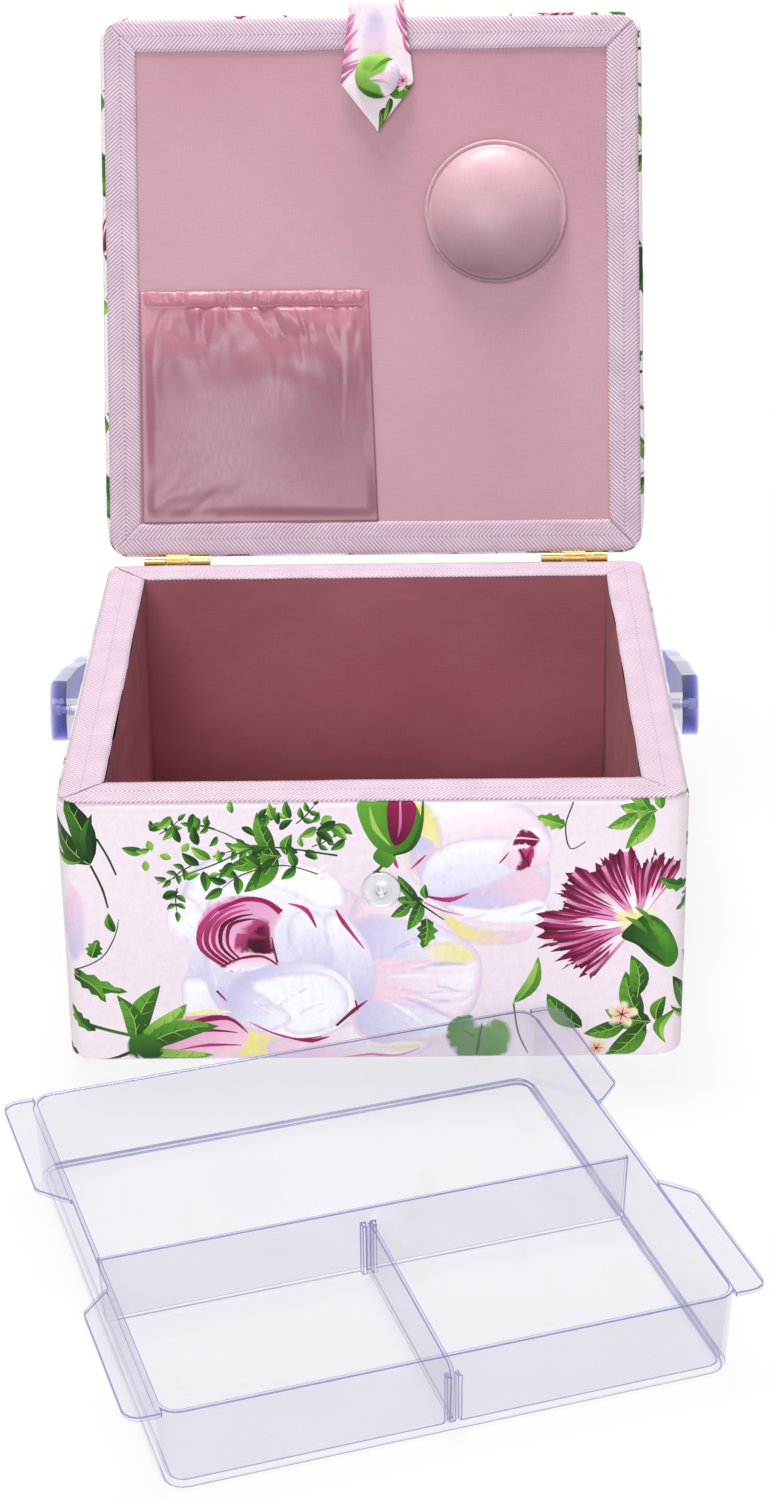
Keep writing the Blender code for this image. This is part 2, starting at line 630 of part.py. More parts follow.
def make_handle_pivot(side, direction, axis, side_board, cover):
    """Screw, spacer and nut that hold one arm; the nut is sunk behind the lining."""
    turn = ALONG_X if direction > 0 else ALONG_MINUS_X
    board_inside = BOARD_HALF - BOARD_THICK
    tip = board_inside + 0.4 * MM
    outer_face = ARM_INNER_X + HANDLE_THICK
    head = outer_face - SCREW_HEAD_LENGTH
    profile = [(0, tip), (SCREW_RADIUS, tip), (SCREW_RADIUS, head), (SCREW_HEAD_RADIUS, head),
               (SCREW_HEAD_RADIUS, outer_face - 0.3 * MM), (SCREW_HEAD_RADIUS - 0.3 * MM, outer_face),
               (0, outer_face)]
    add_object(f"handle_screw_{side}", turned(profile, 20), white_plastic(), axis, (0, 0, 0), turn)

    start = BOX_HALF + GAP
    spacer = tube(2.5 * MM, SCREW_RADIUS + GAP, ARM_INNER_X - 0.5 * MM - start, 20)
    add_object(f"handle_spacer_{side}", spacer, clear_plastic(), axis, (direction * start, 0, 0), turn)

    nut = tube(NUT_RADIUS, SCREW_RADIUS + GAP, NUT_THICK, 6)
    add_object(f"handle_nut_{side}", nut, chrome(), axis, (direction * (board_inside + GAP), 0, 0), turn)

    hole = turned([(0, board_inside - 1 * MM), (NUT_RADIUS + 0.4 * MM, board_inside - 1 * MM),
                   (NUT_RADIUS + 0.4 * MM, board_inside + NUT_THICK + 2 * GAP),
                   (SCREW_RADIUS + GAP, board_inside + NUT_THICK + 2 * GAP),
                   (SCREW_RADIUS + GAP, BOX_HALF + 2 * MM), (0, BOX_HALF + 2 * MM)], 20)
    hole = add_object(f"cut_pivot_{side}", hole, board(), axis, (0, 0, 0), turn)
    boolean(side_board, hole)
    boolean(cover, hole)


# ---------------------------------------------------------------- tray

def tray_half(z):
    """Half width outside the tray's wall at a height."""
    return TRAY_HALF - TRAY_DRAFT * (1 - z / TRAY_HEIGHT)


def make_tray(frame):
    """Moulded tray: drafted walls, four ears, a fixed long divider and two slots."""
    bottom, top = tray_half(0), tray_half(TRAY_HEIGHT)
    foot, wall, corner = TRAY_FOOT, TRAY_WALL, TRAY_CORNER
    rings = [level(rounded_square(bottom - foot, corner - foot), 0),
             level(rounded_square(tray_half(foot), corner), foot),
             level(rounded_square(top, corner), TRAY_HEIGHT),
             level(rounded_square(top - wall, corner - wall), TRAY_HEIGHT),
             level(rounded_square(tray_half(foot) - wall, corner - wall), wall + foot),
             level(rounded_square(bottom - wall - foot, corner - wall - foot), wall)]
    tray = add_object("tray", lofted(rings), clear_plastic(), frame)

    root_x = TRAY_HALF - 1.4 * MM
    corners = [(root_x, EAR_ROOT_Y), (TRAY_HALF + 1 * MM, EAR_ROOT_Y), (EAR_REACH, EAR_START_Y),
               (EAR_REACH, EAR_END_Y), (root_x, EAR_END_Y)]
    ear_outline = filleted(corners, [0, 3 * MM, 5 * MM, 6 * MM, 0])
    for index, (sx, sy) in enumerate(((1, 1), (-1, 1), (-1, -1), (1, -1))):
        ear = prism([(sx * x, sy * y) for x, y in ear_outline], TRAY_HEIGHT - wall, TRAY_HEIGHT)
        boolean(tray, add_object(f"join_ear_{index}", ear, clear_plastic(), frame), "UNION")

    inside = tray_half(LONG_DIVIDER_TOP) - TRAY_WALL + 0.9 * MM
    low = tray_half(TRAY_WALL) - TRAY_WALL + 0.9 * MM
    half = DIVIDER_THICK / 2
    corners = [(-low, TRAY_WALL / 2), (low, TRAY_WALL / 2), (inside, LONG_DIVIDER_TOP),
               (-inside, LONG_DIVIDER_TOP)]
    rings = [[(x, y, z) for x, z in corners] for y in (LONG_DIVIDER_Y + half, LONG_DIVIDER_Y - half)]
    boolean(tray, add_object("join_long_divider", lofted(rings), clear_plastic(), frame), "UNION")

    rib, clearance, rib_top = 1.6 * MM, 0.35 * MM, 22.5 * MM
    front_wall = -(bottom - TRAY_WALL)
    ends = ((LONG_DIVIDER_Y - half - 2.4 * MM, LONG_DIVIDER_Y),
            (front_wall - 0.9 * MM, front_wall + 2.2 * MM))
    for end, (y0, y1) in enumerate(ends):
        for side in (-1, 1):
            near = CROSS_DIVIDER_X + side * (half + clearance)
            xs = sorted((near, near + side * rib))
            bm = block((xs[0], y0, TRAY_WALL / 2), (xs[1], y1, rib_top))
            boolean(tray, add_object(f"join_rib_{end}_{side + 1}", bm, clear_plastic(), frame), "UNION")


def make_cross_divider(frame):
    """Loose divider that drops between the ribs, from the long divider to the front wall."""
    back = LONG_DIVIDER_Y - DIVIDER_THICK / 2 - 0.4 * MM
    low_front = -(tray_half(TRAY_WALL) - TRAY_WALL - 0.4 * MM) + 1.4 * MM
    high_front = -(tray_half(CROSS_DIVIDER_TOP) - TRAY_WALL - 0.4 * MM) + 0.4 * MM
    low = TRAY_WALL + GAP
    corners = [(low_front, low), (back, low), (back, CROSS_DIVIDER_TOP),
               (high_front, CROSS_DIVIDER_TOP)]
    outline = filleted(corners, [1 * MM, 0, 5 * MM, 5 * MM])
    half = DIVIDER_THICK / 2
    add_object("tray_divider", side_prism(outline, CROSS_DIVIDER_X - half, CROSS_DIVIDER_X + half),
               clear_plastic(), frame)


# ---------------------------------------------------------------- assembly

def main():
    for old in list(bpy.data.objects):
        bpy.data.objects.remove(old)

    front, back, sides = make_box_boards()
    cover = make_box_cover()
    make_box_linings()
    make_box_trim()
    make_snap_socket(front, cover)

    box_axis = add_empty("hinge_line", (0, HINGE_Y, HINGE_Z))
    lid_axis = add_empty("lid_axis", (0, HINGE_Y, HINGE_Z), (-LID_OPEN, 0, 0))
    lid_board, lid_cover = make_lid(lid_axis)
    for side, direction in (("left", -1), ("right", 1)):
        make_hinge(side, direction, lid_axis, box_axis, (back, cover), (lid_board, lid_cover))
    make_pocket(lid_axis)
    make_pincushion(lid_axis)
    make_tab_root(lid_axis)
    tab_axis = add_empty("tab_axis", (TAB_X, -TAB_OUT, -TAB_DROP), (TAB_FOLD, 0, 0), lid_axis)
    make_tab(tab_axis)

    pivot_line = add_empty("pivot_line", (0, 0, PIVOT_Z))
    for side, direction, side_board in (("left", -1, sides[0]), ("right", 1, sides[1])):
        make_handle_pivot(side, direction, pivot_line, side_board, cover)
    make_handle(add_empty("handle_axis", (0, 0, PIVOT_Z), (-HANDLE_REST, 0, 0)))

    tray_frame = add_empty("tray_frame", TRAY_PLACE, (0, 0, TRAY_TURN))
    make_tray(tray_frame)
    make_cross_divider(tray_frame)


main()
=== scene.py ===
"""Looks of the sewing box: printed padded covers, twill tapes, satin linings, a gathered
pocket, a pincushion, a snap tab, and clear moulded plastic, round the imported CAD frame.

Lengths are in metres; the printed pattern is drawn in millimetres of cloth.
"""

import json
import random
from math import radians, degrees, cos, sin, pi, hypot, atan2, sqrt, exp

import bpy
import numpy as np
from mathutils import Matrix, Vector, noise
from mathutils.geometry import delaunay_2d_cdt


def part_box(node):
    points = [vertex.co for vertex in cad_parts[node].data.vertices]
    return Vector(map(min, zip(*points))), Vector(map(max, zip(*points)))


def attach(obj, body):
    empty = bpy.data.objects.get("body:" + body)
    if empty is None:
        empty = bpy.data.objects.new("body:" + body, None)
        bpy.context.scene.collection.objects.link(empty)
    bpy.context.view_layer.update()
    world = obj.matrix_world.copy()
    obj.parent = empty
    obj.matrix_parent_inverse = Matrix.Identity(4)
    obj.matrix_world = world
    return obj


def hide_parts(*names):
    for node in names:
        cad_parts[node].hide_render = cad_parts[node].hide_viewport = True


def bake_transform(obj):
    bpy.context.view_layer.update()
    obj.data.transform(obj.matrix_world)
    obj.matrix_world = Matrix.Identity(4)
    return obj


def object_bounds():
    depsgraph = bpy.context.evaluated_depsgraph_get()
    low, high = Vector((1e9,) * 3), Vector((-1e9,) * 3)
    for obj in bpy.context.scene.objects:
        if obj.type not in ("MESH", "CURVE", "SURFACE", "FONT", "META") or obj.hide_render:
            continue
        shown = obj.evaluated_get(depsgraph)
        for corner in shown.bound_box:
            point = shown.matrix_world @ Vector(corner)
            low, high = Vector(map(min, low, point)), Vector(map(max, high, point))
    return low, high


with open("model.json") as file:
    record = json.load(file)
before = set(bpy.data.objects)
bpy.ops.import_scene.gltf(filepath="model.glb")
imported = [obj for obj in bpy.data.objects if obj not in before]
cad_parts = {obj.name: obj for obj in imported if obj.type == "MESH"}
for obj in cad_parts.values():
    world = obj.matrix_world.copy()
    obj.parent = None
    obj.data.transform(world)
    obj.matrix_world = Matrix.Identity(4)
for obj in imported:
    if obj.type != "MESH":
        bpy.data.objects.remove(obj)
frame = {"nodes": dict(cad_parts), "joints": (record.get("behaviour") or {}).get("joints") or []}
cad_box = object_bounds()

MM = 0.001

# ---------------------------------------------------------------- frames

joints = {joint["name"]: joint for joint in frame["joints"]}
HINGE = Vector(joints["lid_hinge"]["pos_m"])
LID_OPEN = radians(joints["lid_hinge"]["range_deg"][1])
TAB_PIVOT = Vector(joints["tab_fold"]["pos_m"])
TAB_FOLD = radians(-joints["tab_fold"]["range_deg"][0])

LID = Matrix.Translation(HINGE) @ Matrix.Rotation(-LID_OPEN, 4, "X")
TAB = Matrix.Translation(TAB_PIVOT) @ Matrix.Rotation(TAB_FOLD - LID_OPEN, 4, "X")


def span(node, axis):
    """Lowest and highest coordinate of a CAD node along one axis."""
    low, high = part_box(node)
    return low[axis], high[axis]


def span_in(place, node, axis):
    """The same, measured in another frame."""
    back = place.inverted()
    values = [(back @ v.co)[axis] for v in frame["nodes"][node].data.vertices]
    return min(values), max(values)


def lid_span(node, axis):
    """The same, measured in the lid's own frame, where the lid is shut."""
    return span_in(LID, node, axis)


def middle_of(ends):
    """Middle between a lowest and a highest coordinate, in millimetres."""
    return sum(ends) / 2 / MM


def half_of(ends):
    """Half the distance from the lowest to the highest coordinate, in millimetres."""
    return (ends[1] - ends[0]) / 2 / MM


BOX_HALF = span("box_cover", 0)[1]
RIM_Z = span("rim_tape", 2)[1]
RIM_TAPE_INNER, LID_TAPE_INNER = 106.9, 109.6  # the tapes' inner half widths, in millimetres
TAPE_THICK, SATIN_THICK = 0.55 * MM, 0.35 * MM
OPENING = span("lining_right", 0)[0]
FLOOR_TOP = span("lining_floor", 2)[1]
LID_Y = sum(lid_span("lid_cover", 1)) / 2
LID_TOP = lid_span("lid_cover", 2)[1]
LID_FACE = lid_span("lid_lining", 2)[0]
LID_TAPE_FACE = lid_span("lid_tape", 2)[0]


# ---------------------------------------------------------------- shader tools

def srgb(r, g, b, alpha=1.0):
    """Linear colour from 0 to 255 screen values."""
    def line(value):
        value /= 255
        return value / 12.92 if value <= 0.04045 else ((value + 0.055) / 1.055) ** 2.4
    return (line(r), line(g), line(b), alpha)


class Shader:
    """A node material built step by step; each method returns an output socket."""

    def __init__(self, name, **settings):
        self.material = bpy.data.materials.new(name)
        self.material.use_nodes = True
        self.tree = self.material.node_tree
        self.main = self.tree.nodes["Principled BSDF"]
        self.output = self.tree.nodes["Material Output"]
        self.set(**settings)

    def set(self, **settings):
        for key, value in settings.items():
            socket = self.main.inputs[key.replace("_", " ")]
            if hasattr(value, "is_linked"):
                self.tree.links.new(value, socket)
            else:
                socket.default_value = value

    def node(self, kind, inputs=None, **settings):
        made = self.tree.nodes.new("ShaderNode" + kind)
        for key, value in settings.items():
            setattr(made, key, value)
        for key, value in (inputs or {}).items():
            if hasattr(value, "is_linked"):
                self.tree.links.new(value, made.inputs[key])
            else:
                made.inputs[key].default_value = value
        return made

    def math(self, operation, a, b=0.0):
        return self.node("Math", {0: a, 1: b}, operation=operation).outputs[0]

    def position(self):
        return self.node("TexCoord").outputs["Object"]

    def attribute(self, name, output="Vector"):
        return self.node("Attribute", attribute_name=name).outputs[output]

    def scaled(self, vector, factors):
        return self.node("Mapping", {"Vector": vector, "Scale": factors}).outputs[0]

    def noise(self, vector, scale, detail=2.0, rough=0.5):
        made = self.node("TexNoise", {"Vector": vector, "Scale": scale, "Detail": detail,
                                      "Roughness": rough})
        return made.outputs["Fac"]

    def wave(self, vector, axis, pitch):
        """Sine ridges, pitch metres apart, across one axis."""
        made = self.node("TexWave", {"Vector": vector, "Scale": pi / 10 / pitch, "Detail": 1.0},
                         wave_type="BANDS", bands_direction=axis, wave_profile="SIN")
        return made.outputs["Fac"]

    def ramp(self, value, low, high, out_low=0.0, out_high=1.0):
        made = self.node("MapRange", {"Value": value, "From Min": low, "From Max": high,
                                      "To Min": out_low, "To Max": out_high})
        return made.outputs[0]

    def mix(self, share, a, b, blend="MIX"):
        made = self.node("Mix", data_type="RGBA", blend_type=blend, clamp_result=False)
        for socket, value in ((made.inputs[0], share), (made.inputs[6], a), (made.inputs[7], b)):
            if hasattr(value, "is_linked"):
                self.tree.links.new(value, socket)
            else:
                socket.default_value = value
        return made.outputs[2]

    def bump(self, height, distance, strength=1.0):
        inputs = {"Height": height, "Distance": distance, "Strength": strength}
        return self.node("Bump", inputs).outputs[0]


def plain_weave(shader, vector, pitch):
    """Crossing threads, pitch metres apart, as a height from 0 to 1."""
    warp = shader.wave(vector, "X", pitch)
    weft = shader.wave(vector, "Y", pitch)
    return shader.math("MULTIPLY", warp, weft)


def fabric_print():
    """Printed cotton: colours from the drawn print, with brush grain and a fine weave."""
    s = Shader("printed_cotton", Roughness=0.78, Specular_IOR_Level=0.25)
    s.set(Sheen_Weight=0.25, Sheen_Roughness=0.4)
    cloth = s.attribute("cloth")
    drawn = s.attribute("print", "Color")
    brush = s.noise(s.scaled(cloth, (420, 260, 420)), 1.0, 3.0, 0.6)
    brushed = s.mix(0.22, drawn, s.ramp(brush, 0.3, 0.7, 0.80, 1.16), "MULTIPLY")
    patch = s.noise(cloth, 22.0, 2.0)
    toned = s.mix(1.0, brushed, s.ramp(patch, 0.3, 0.7, 0.985, 1.01), "MULTIPLY")
    weave = plain_weave(s, cloth, 0.55 * MM)
    s.set(Base_Color=s.mix(1.0, toned, s.ramp(weave, 0, 1, 0.97, 1.02), "MULTIPLY"))
    s.set(Normal=s.bump(weave, 0.05 * MM, 0.5))
    return s.material


def satin(name, colour, deep, gloss=0.42, sheen=0.25, painted_light=None):
    """Satin: long floats that shine along one way, faint cross threads and soft tone changes.

    The last argument, (start, end, tone at start, tone at end), multiplies its colour along the cloth's
    second axis: painted light and shade that stand in for how the lamps fall on it.
    """
    s = Shader(name, Specular_IOR_Level=0.55, Anisotropic=0.45)
    s.set(Sheen_Weight=sheen, Sheen_Roughness=0.35, Sheen_Tint=(1.0, 0.86, 0.9, 1.0))
    cloth = s.attribute("cloth")
    threads = s.noise(s.scaled(cloth, (2600, 160, 160)), 1.0, 2.0)
    cross = s.noise(s.scaled(cloth, (120, 2400, 120)), 1.0, 2.0)
    tone = s.math("ADD", s.math("MULTIPLY", threads, 0.5), s.math("MULTIPLY", cross, 0.5))
    patch = s.noise(cloth, 14.0, 3.0)
    base = s.mix(s.ramp(patch, 0.3, 0.7), deep, colour)
    # painted light and shade: the colour is multiplied by a tone that changes along the cloth
    if painted_light is not None:
        along = s.node("SeparateXYZ", {"Vector": cloth}).outputs[1]
        base = s.mix(1.0, base, s.ramp(along, *painted_light), "MULTIPLY")
    s.set(Base_Color=s.mix(1.0, base, s.ramp(tone, 0.35, 0.65, 0.93, 1.06), "MULTIPLY"))
    s.set(Roughness=s.ramp(threads, 0.3, 0.7, gloss - 0.05, gloss + 0.08))
    s.set(Normal=s.bump(tone, 0.05 * MM, 0.35))
    return s.material


def herringbone():
    """Cotton twill tape: diagonals that meet on its centre line."""
    s = Shader("herringbone_twill", Roughness=0.82, Specular_IOR_Level=0.2)
    s.set(Sheen_Weight=0.3, Sheen_Roughness=0.4)
    split = s.node("SeparateXYZ", {"Vector": s.attribute("cloth")})
    along, across = split.outputs[0], split.outputs[1]
    fold = s.math("ABSOLUTE", across)
    slanted = s.math("ADD", along, s.math("MULTIPLY", fold, 0.9))
    rows = s.math("SINE", s.math("MULTIPLY", slanted, 2 * pi / (1.9 * MM)))
    threads = s.math("SINE", s.math("MULTIPLY", across, 2 * pi / (0.55 * MM)))
    height = s.math("ADD", s.ramp(rows, -1, 1), s.math("MULTIPLY", threads, 0.18))
    centre = s.ramp(fold, 0.0, 0.35 * MM, 0.80, 1.0)
    patch = s.noise(s.attribute("cloth"), 60.0, 2.0)
    base = s.mix(s.ramp(patch, 0.3, 0.7), srgb(215, 190, 207), srgb(225, 202, 217))
    lines = s.mix(1.0, base, s.ramp(height, 0.1, 0.9, 0.62, 1.13), "MULTIPLY")
    s.set(Base_Color=s.mix(1.0, lines, centre, "MULTIPLY"))
    s.set(Normal=s.bump(height, 0.20 * MM, 0.8))
    return s.material


def metal(name, colour, rough, scratch_scale=900.0):
    """Plated metal with fine scratches along one way."""
    s = Shader(name, Metallic=1.0, Base_Color=colour)
    where = s.position()
    worn = s.noise(s.scaled(where, (scratch_scale, scratch_scale / 8, scratch_scale)), 1.0, 3.0)
    smudge = s.noise(where, 160.0, 2.0)
    s.set(Roughness=s.ramp(s.math("ADD", worn, smudge), 0.7, 1.3, rough * 0.85, rough * 1.25))
    s.set(Normal=s.bump(worn, 0.01 * MM, 0.08))
    return s.material


def clear_plastic(name, tint, density, rough=0.04, veil_and_shade=0.06, mist_and_shade=(0.86, 0.86, 0.95, 1)):
    """Clear moulded styrene: thin walls let light straight through, edges look violet. Its diffuse layer is
    a faint whitish cloudiness in the plastic; where that layer is dark, as on the edge strips, it is
    painted shade that stands in for refraction at the edges.
    """
    s = Shader(name, Base_Color=(1, 1, 1, 1))
    where = s.position()
    flow = s.noise(where, 45.0, 2.0)
    bump = s.bump(flow, 0.25 * MM, 0.2)
    clear = s.node("BsdfTransparent", {"Color": (0.932, 0.930, 0.944, 1)})
    shine = s.node("BsdfGlossy", {"Color": (1, 1, 1, 1), "Roughness": rough, "Normal": bump})
    haze_and_shade = s.node("BsdfDiffuse", {"Color": mist_and_shade, "Normal": bump})
    facing = s.node("Fresnel", {"IOR": 1.3, "Normal": bump})
    misty_and_shaded = s.node("MixShader", {0: s.ramp(flow, 0.3, 0.7, veil_and_shade * 0.7, veil_and_shade * 1.3),
                                 1: clear.outputs[0], 2: haze_and_shade.outputs[0]})
    side = s.node("NewGeometry")
    outside = s.math("SUBTRACT", 1.0, side.outputs["Backfacing"])
    both = s.node("MixShader", {0: s.math("MULTIPLY", facing.outputs[0], outside),
                                1: misty_and_shaded.outputs[0], 2: shine.outputs[0]})
    s.tree.links.new(both.outputs[0], s.output.inputs["Surface"])
    absorb = s.node("VolumeAbsorption", {"Color": tint, "Density": density})
    s.tree.links.new(absorb.outputs[0], s.output.inputs["Volume"])
    return s.material


def moulded(name, colour):
    """Opaque moulded plastic with a faint uneven gloss."""
    s = Shader(name, Specular_IOR_Level=0.5)
    where = s.position()
    patch = s.noise(where, 90.0, 3.0)
    s.set(Base_Color=s.mix(s.ramp(patch, 0.3, 0.7), colour, tuple(0.94 * c for c in colour[:3]) + (1,)))
    s.set(Roughness=s.ramp(patch, 0.3, 0.7, 0.255, 0.36))
    s.set(Normal=s.bump(s.noise(where, 1500.0, 2.0), 0.02 * MM, 0.3))
    return s.material


def fibreboard():
    """Brown board with short fibres."""
    s = Shader("fibreboard", Roughness=0.85)
    where = s.position()
    fibres = s.noise(s.scaled(where, (900, 250, 900)), 1.0, 4.0)
    s.set(Base_Color=s.mix(s.ramp(fibres, 0.3, 0.7), srgb(150, 118, 84), srgb(186, 154, 116)))
    s.set(Normal=s.bump(fibres, 0.1 * MM, 0.5))
    return s.material


PRINTED = fabric_print()
LINING = satin("satin_lining", srgb(193, 146, 157), srgb(186, 137, 149))
MOUTH = -lid_span("pocket", 1)[0]
# painted highlight: up to 1.6 times brighter over the gathers within 40 mm of the pocket's mouth
POCKET = satin("satin_pocket", srgb(165, 110, 123), srgb(152, 97, 111), 0.34,
               painted_light=(MOUTH - 40 * MM, MOUTH - 5 * MM, 0.97, 1.60))
# a darker, deeper copy of the lining satin: painted shade for the inside walls and floor of the box
INSIDE_SHADED = satin("satin_inside_shaded", srgb(176, 112, 122), srgb(162, 96, 107), 0.5, 0.03)
# painted light and shade: lighter over the cushion's upper part, falling to 0.6 towards its lower edge
SHINY = satin("satin_pincushion", srgb(202, 163, 171), srgb(189, 148, 157), 0.42,
              painted_light=(2 * MM, 27 * MM, 1.05, 0.60))
TWILL = herringbone()
BRASS = metal("brass", (0.62, 0.43, 0.17, 1), 0.3)
CHROME = metal("chrome", (0.80, 0.79, 0.79, 1), 0.30, 300.0)
CLEAR = clear_plastic("clear_styrene", (0.66, 0.65, 0.90, 1), 20.0, 0.08)
BAR = clear_plastic("clear_acrylic", (0.34, 0.36, 0.82, 1), 110.0, 0.04, 0.10)
# dark violet diffuse layer over most of the bevelled strips: painted shade that stands in for the dark
# refraction lines at the plastic's edges
EDGE_SHADE = clear_plastic("clear_edge_painted_shade", (0.5, 0.5, 0.9, 1), 40.0, 0.1, 0.62, (0.28, 0.30, 0.52, 1))
WHITE = moulded("white_moulding", srgb(238, 236, 230))
BOARD = fibreboard()


# ---------------------------------------------------------------- mesh tools

def add_mesh(name, points, faces, material, place=None):
    """New smooth-shaded object; place is the frame that its points are given in."""
    mesh = bpy.data.meshes.new(name)
    mesh.from_pydata([tuple(p) for p in points], [], [tuple(f) for f in faces])
    mesh.materials.append(material)
    mesh.shade_smooth()
    made = bpy.data.objects.new(name, mesh)
    bpy.context.scene.collection.objects.link(made)
    if place is not None:
        made.matrix_world = place
    return made


def put_cloth(made, values):
    """Stores each point's place on its flat cloth, in metres, for the weaves to follow."""
    layer = made.data.attributes.new("cloth", "FLOAT_VECTOR", "POINT")
    layer.data.foreach_set("vector", np.asarray(values, np.float32).ravel())


def ripple(x, y, seed, size, octaves=3):
    """Smooth random height from about -1 to 1; size is the spacing of its bumps."""
    at = Vector((x / size, y / size, seed * 7.31))
    return noise.fractal(at, 1.0, 2.0, octaves)


def step_up(value, low, high):
    """Smooth step from 0 at low to 1 at high."""
    t = min(max((value - low) / (high - low), 0.0), 1.0)
    return t * t * (3 - 2 * t)


def grid_cloth(name, across, along, shape, material, place=None):
    """A sheet from two lists of cloth coordinates; shape(a, b) gives each point in space."""
    points, cloth = [], []
    for b in along:
        for a in across:
            points.append(shape(a, b))
            cloth.append((a, b, 0))
    width = len(across)
    faces = [(r * width + c, r * width + c + 1, (r + 1) * width + c + 1, (r + 1) * width + c)
             for r in range(len(along) - 1) for c in range(width - 1)]
    made = add_mesh(name, points, faces, material, place)
    put_cloth(made, cloth)
    return made


def spaced(low, high, step):
    """Even values from low to high, about step apart."""
    count = max(1, round(abs(high - low) / step))
    return [low + (high - low) * i / count for i in range(count + 1)]


# ---------------------------------------------------------------- drawing the print

WHITE_PETAL, LAVENDER, BLUSH = (247, 246, 251), (203, 199, 231), (240, 204, 222)
PINK, ROSE, MAGENTA, WINE = (226, 148, 196), (196, 70, 132), (150, 24, 84), (96, 12, 46)
CREAM, YELLOW = (240, 236, 206), (238, 228, 128)
DARK_LEAF, LEAF, FRESH, PALE_LEAF = (30, 62, 26), (58, 118, 34), (96, 160, 48), (160, 198, 96)
GROUND = (238, 225, 234)
PEACH = (232, 186, 160)
GREEN_TONES = (DARK_LEAF, LEAF, FRESH)
FRESH_TONES = (LEAF, FRESH, PALE_LEAF)
DEEP_TONES = (DARK_LEAF, DARK_LEAF, LEAF)


def curve(points, closed=True, per=5):
    """Smooth line through a few points, in millimetres."""
    count = len(points)
    spans = count if closed else count - 1
    line = []
    for index in range(spans):
        if closed:
            a, b, c, d = (points[(index + k) % count] for k in (-1, 0, 1, 2))
        else:
            a, b, c, d = (points[min(max(index + k, 0), count - 1)] for k in (-1, 0, 1, 2))
        for step in range(per):
            t = step / per
            line.append(tuple(0.5 * (2 * b[k] + (c[k] - a[k]) * t
                                     + (2 * a[k] - 5 * b[k] + 4 * c[k] - d[k]) * t * t
                                     + (3 * b[k] - a[k] - 3 * c[k] + d[k]) * t ** 3)
                              for k in (0, 1)))
    if not closed:
        line.append(tuple(points[-1]))
    return line


def patch(points, colour, other, towards=None, soft=0.0, strength=1.0):
    """A painted area. It may fade from colour to other along towards = (start, end)."""
    if towards is None:
        xs, ys = [p[0] for p in points], [p[1] for p in points]
        towards = ((sum(xs) / len(xs), max(ys)), (sum(xs) / len(xs), min(ys)))
    return [(curve(points), colour, other, towards, soft, strength)]


def stroke(points, start, end, colour, other=None, middle=None, per=4, soft=0.0):
    """A brush stroke along points, start and end millimetres wide."""
    line = curve(points, False, per)
    middle = max(start, end) if middle is None else middle
    left, right = [], []
    for index, (x, y) in enumerate(line):
        x0, y0 = line[max(index - 1, 0)]
        x1, y1 = line[min(index + 1, len(line) - 1)]
        long = hypot(x1 - x0, y1 - y0) or 1.0
        t = index / (len(line) - 1)
        width = (start * (1 - t) + end * t) * abs(2 * t - 1) + middle * (1 - abs(2 * t - 1))
        nx, ny = -(y1 - y0) / long * width / 2, (x1 - x0) / long * width / 2
        left.append((x + nx, y + ny))
        right.append((x - nx, y - ny))
    return [(left + right[::-1], colour, other or colour, (line[0], line[-1]), soft, 1.0)]


def petal(points, colour, other, towards, soft, edge=(214, 203, 226)):
    """A painted petal: a fine darker edge, a fading body and brush streaks along its fade.

    Where towards is None, it fades from its upper right to its lower left.
    """
    made = patch(points, edge, edge, None, 0.9)
    outline = np.array(made[0][0])
    middle = outline.mean(0)
    body = [tuple(middle + (np.array(p) - middle) * 0.97) for p in points]
    if towards is None:
        towards = (tuple(outline.max(0)), tuple(outline.min(0)))
    made += patch(body, colour, other, towards, soft)
    rng = np.random.default_rng(int(abs(outline.sum()) * 10))
    way = np.array(towards[1]) - np.array(towards[0])
    long = np.linalg.norm(way) or 1.0
    way = way / long
    low, high = outline.min(0), outline.max(0)
    streaks = 8
    centres = low + (high - low) * rng.random((streaks * 3, 2))
    centres = centres[within(centres, middle + (outline - middle) * 0.8)][:streaks]
    tones = (other, LAVENDER, colour, WHITE_PETAL, BLUSH)
    for index, spot in enumerate(centres):
        reach = long * rng.uniform(0.12, 0.30)
        bow = np.array((-way[1], way[0])) * reach * rng.uniform(-0.25, 0.25)
        line = [tuple(spot - way * reach), tuple(spot + bow), tuple(spot + way * reach)]
        tone = tones[index % len(tones)]
        for outline_, one, two, ends, _, _ in stroke(line, 0.4, 0.2, tone, tone, rng.uniform(1.0, 2.6)):
            made.append((outline_, one, two, ends, 0.7, 0.8))
    return made


def turned(x, y, angle):
    """A point turned about (0, 0) by an angle in degrees."""
    c, s = cos(radians(angle)), sin(radians(angle))
    return (x * c - y * s, x * s + y * c)


def moved(shapes, u=0.0, v=0.0, angle=0.0, scale=1.0):
    """Shapes scaled and turned about (0, 0), then shifted by (u, v)."""
    def at(p):
        x, y = turned(p[0] * scale, p[1] * scale, angle)
        return (x + u, y + v)
    return [([at(p) for p in outline], one, two, (at(way[0]), at(way[1])), soft * scale, strength)
            for outline, one, two, way, soft, strength in shapes]


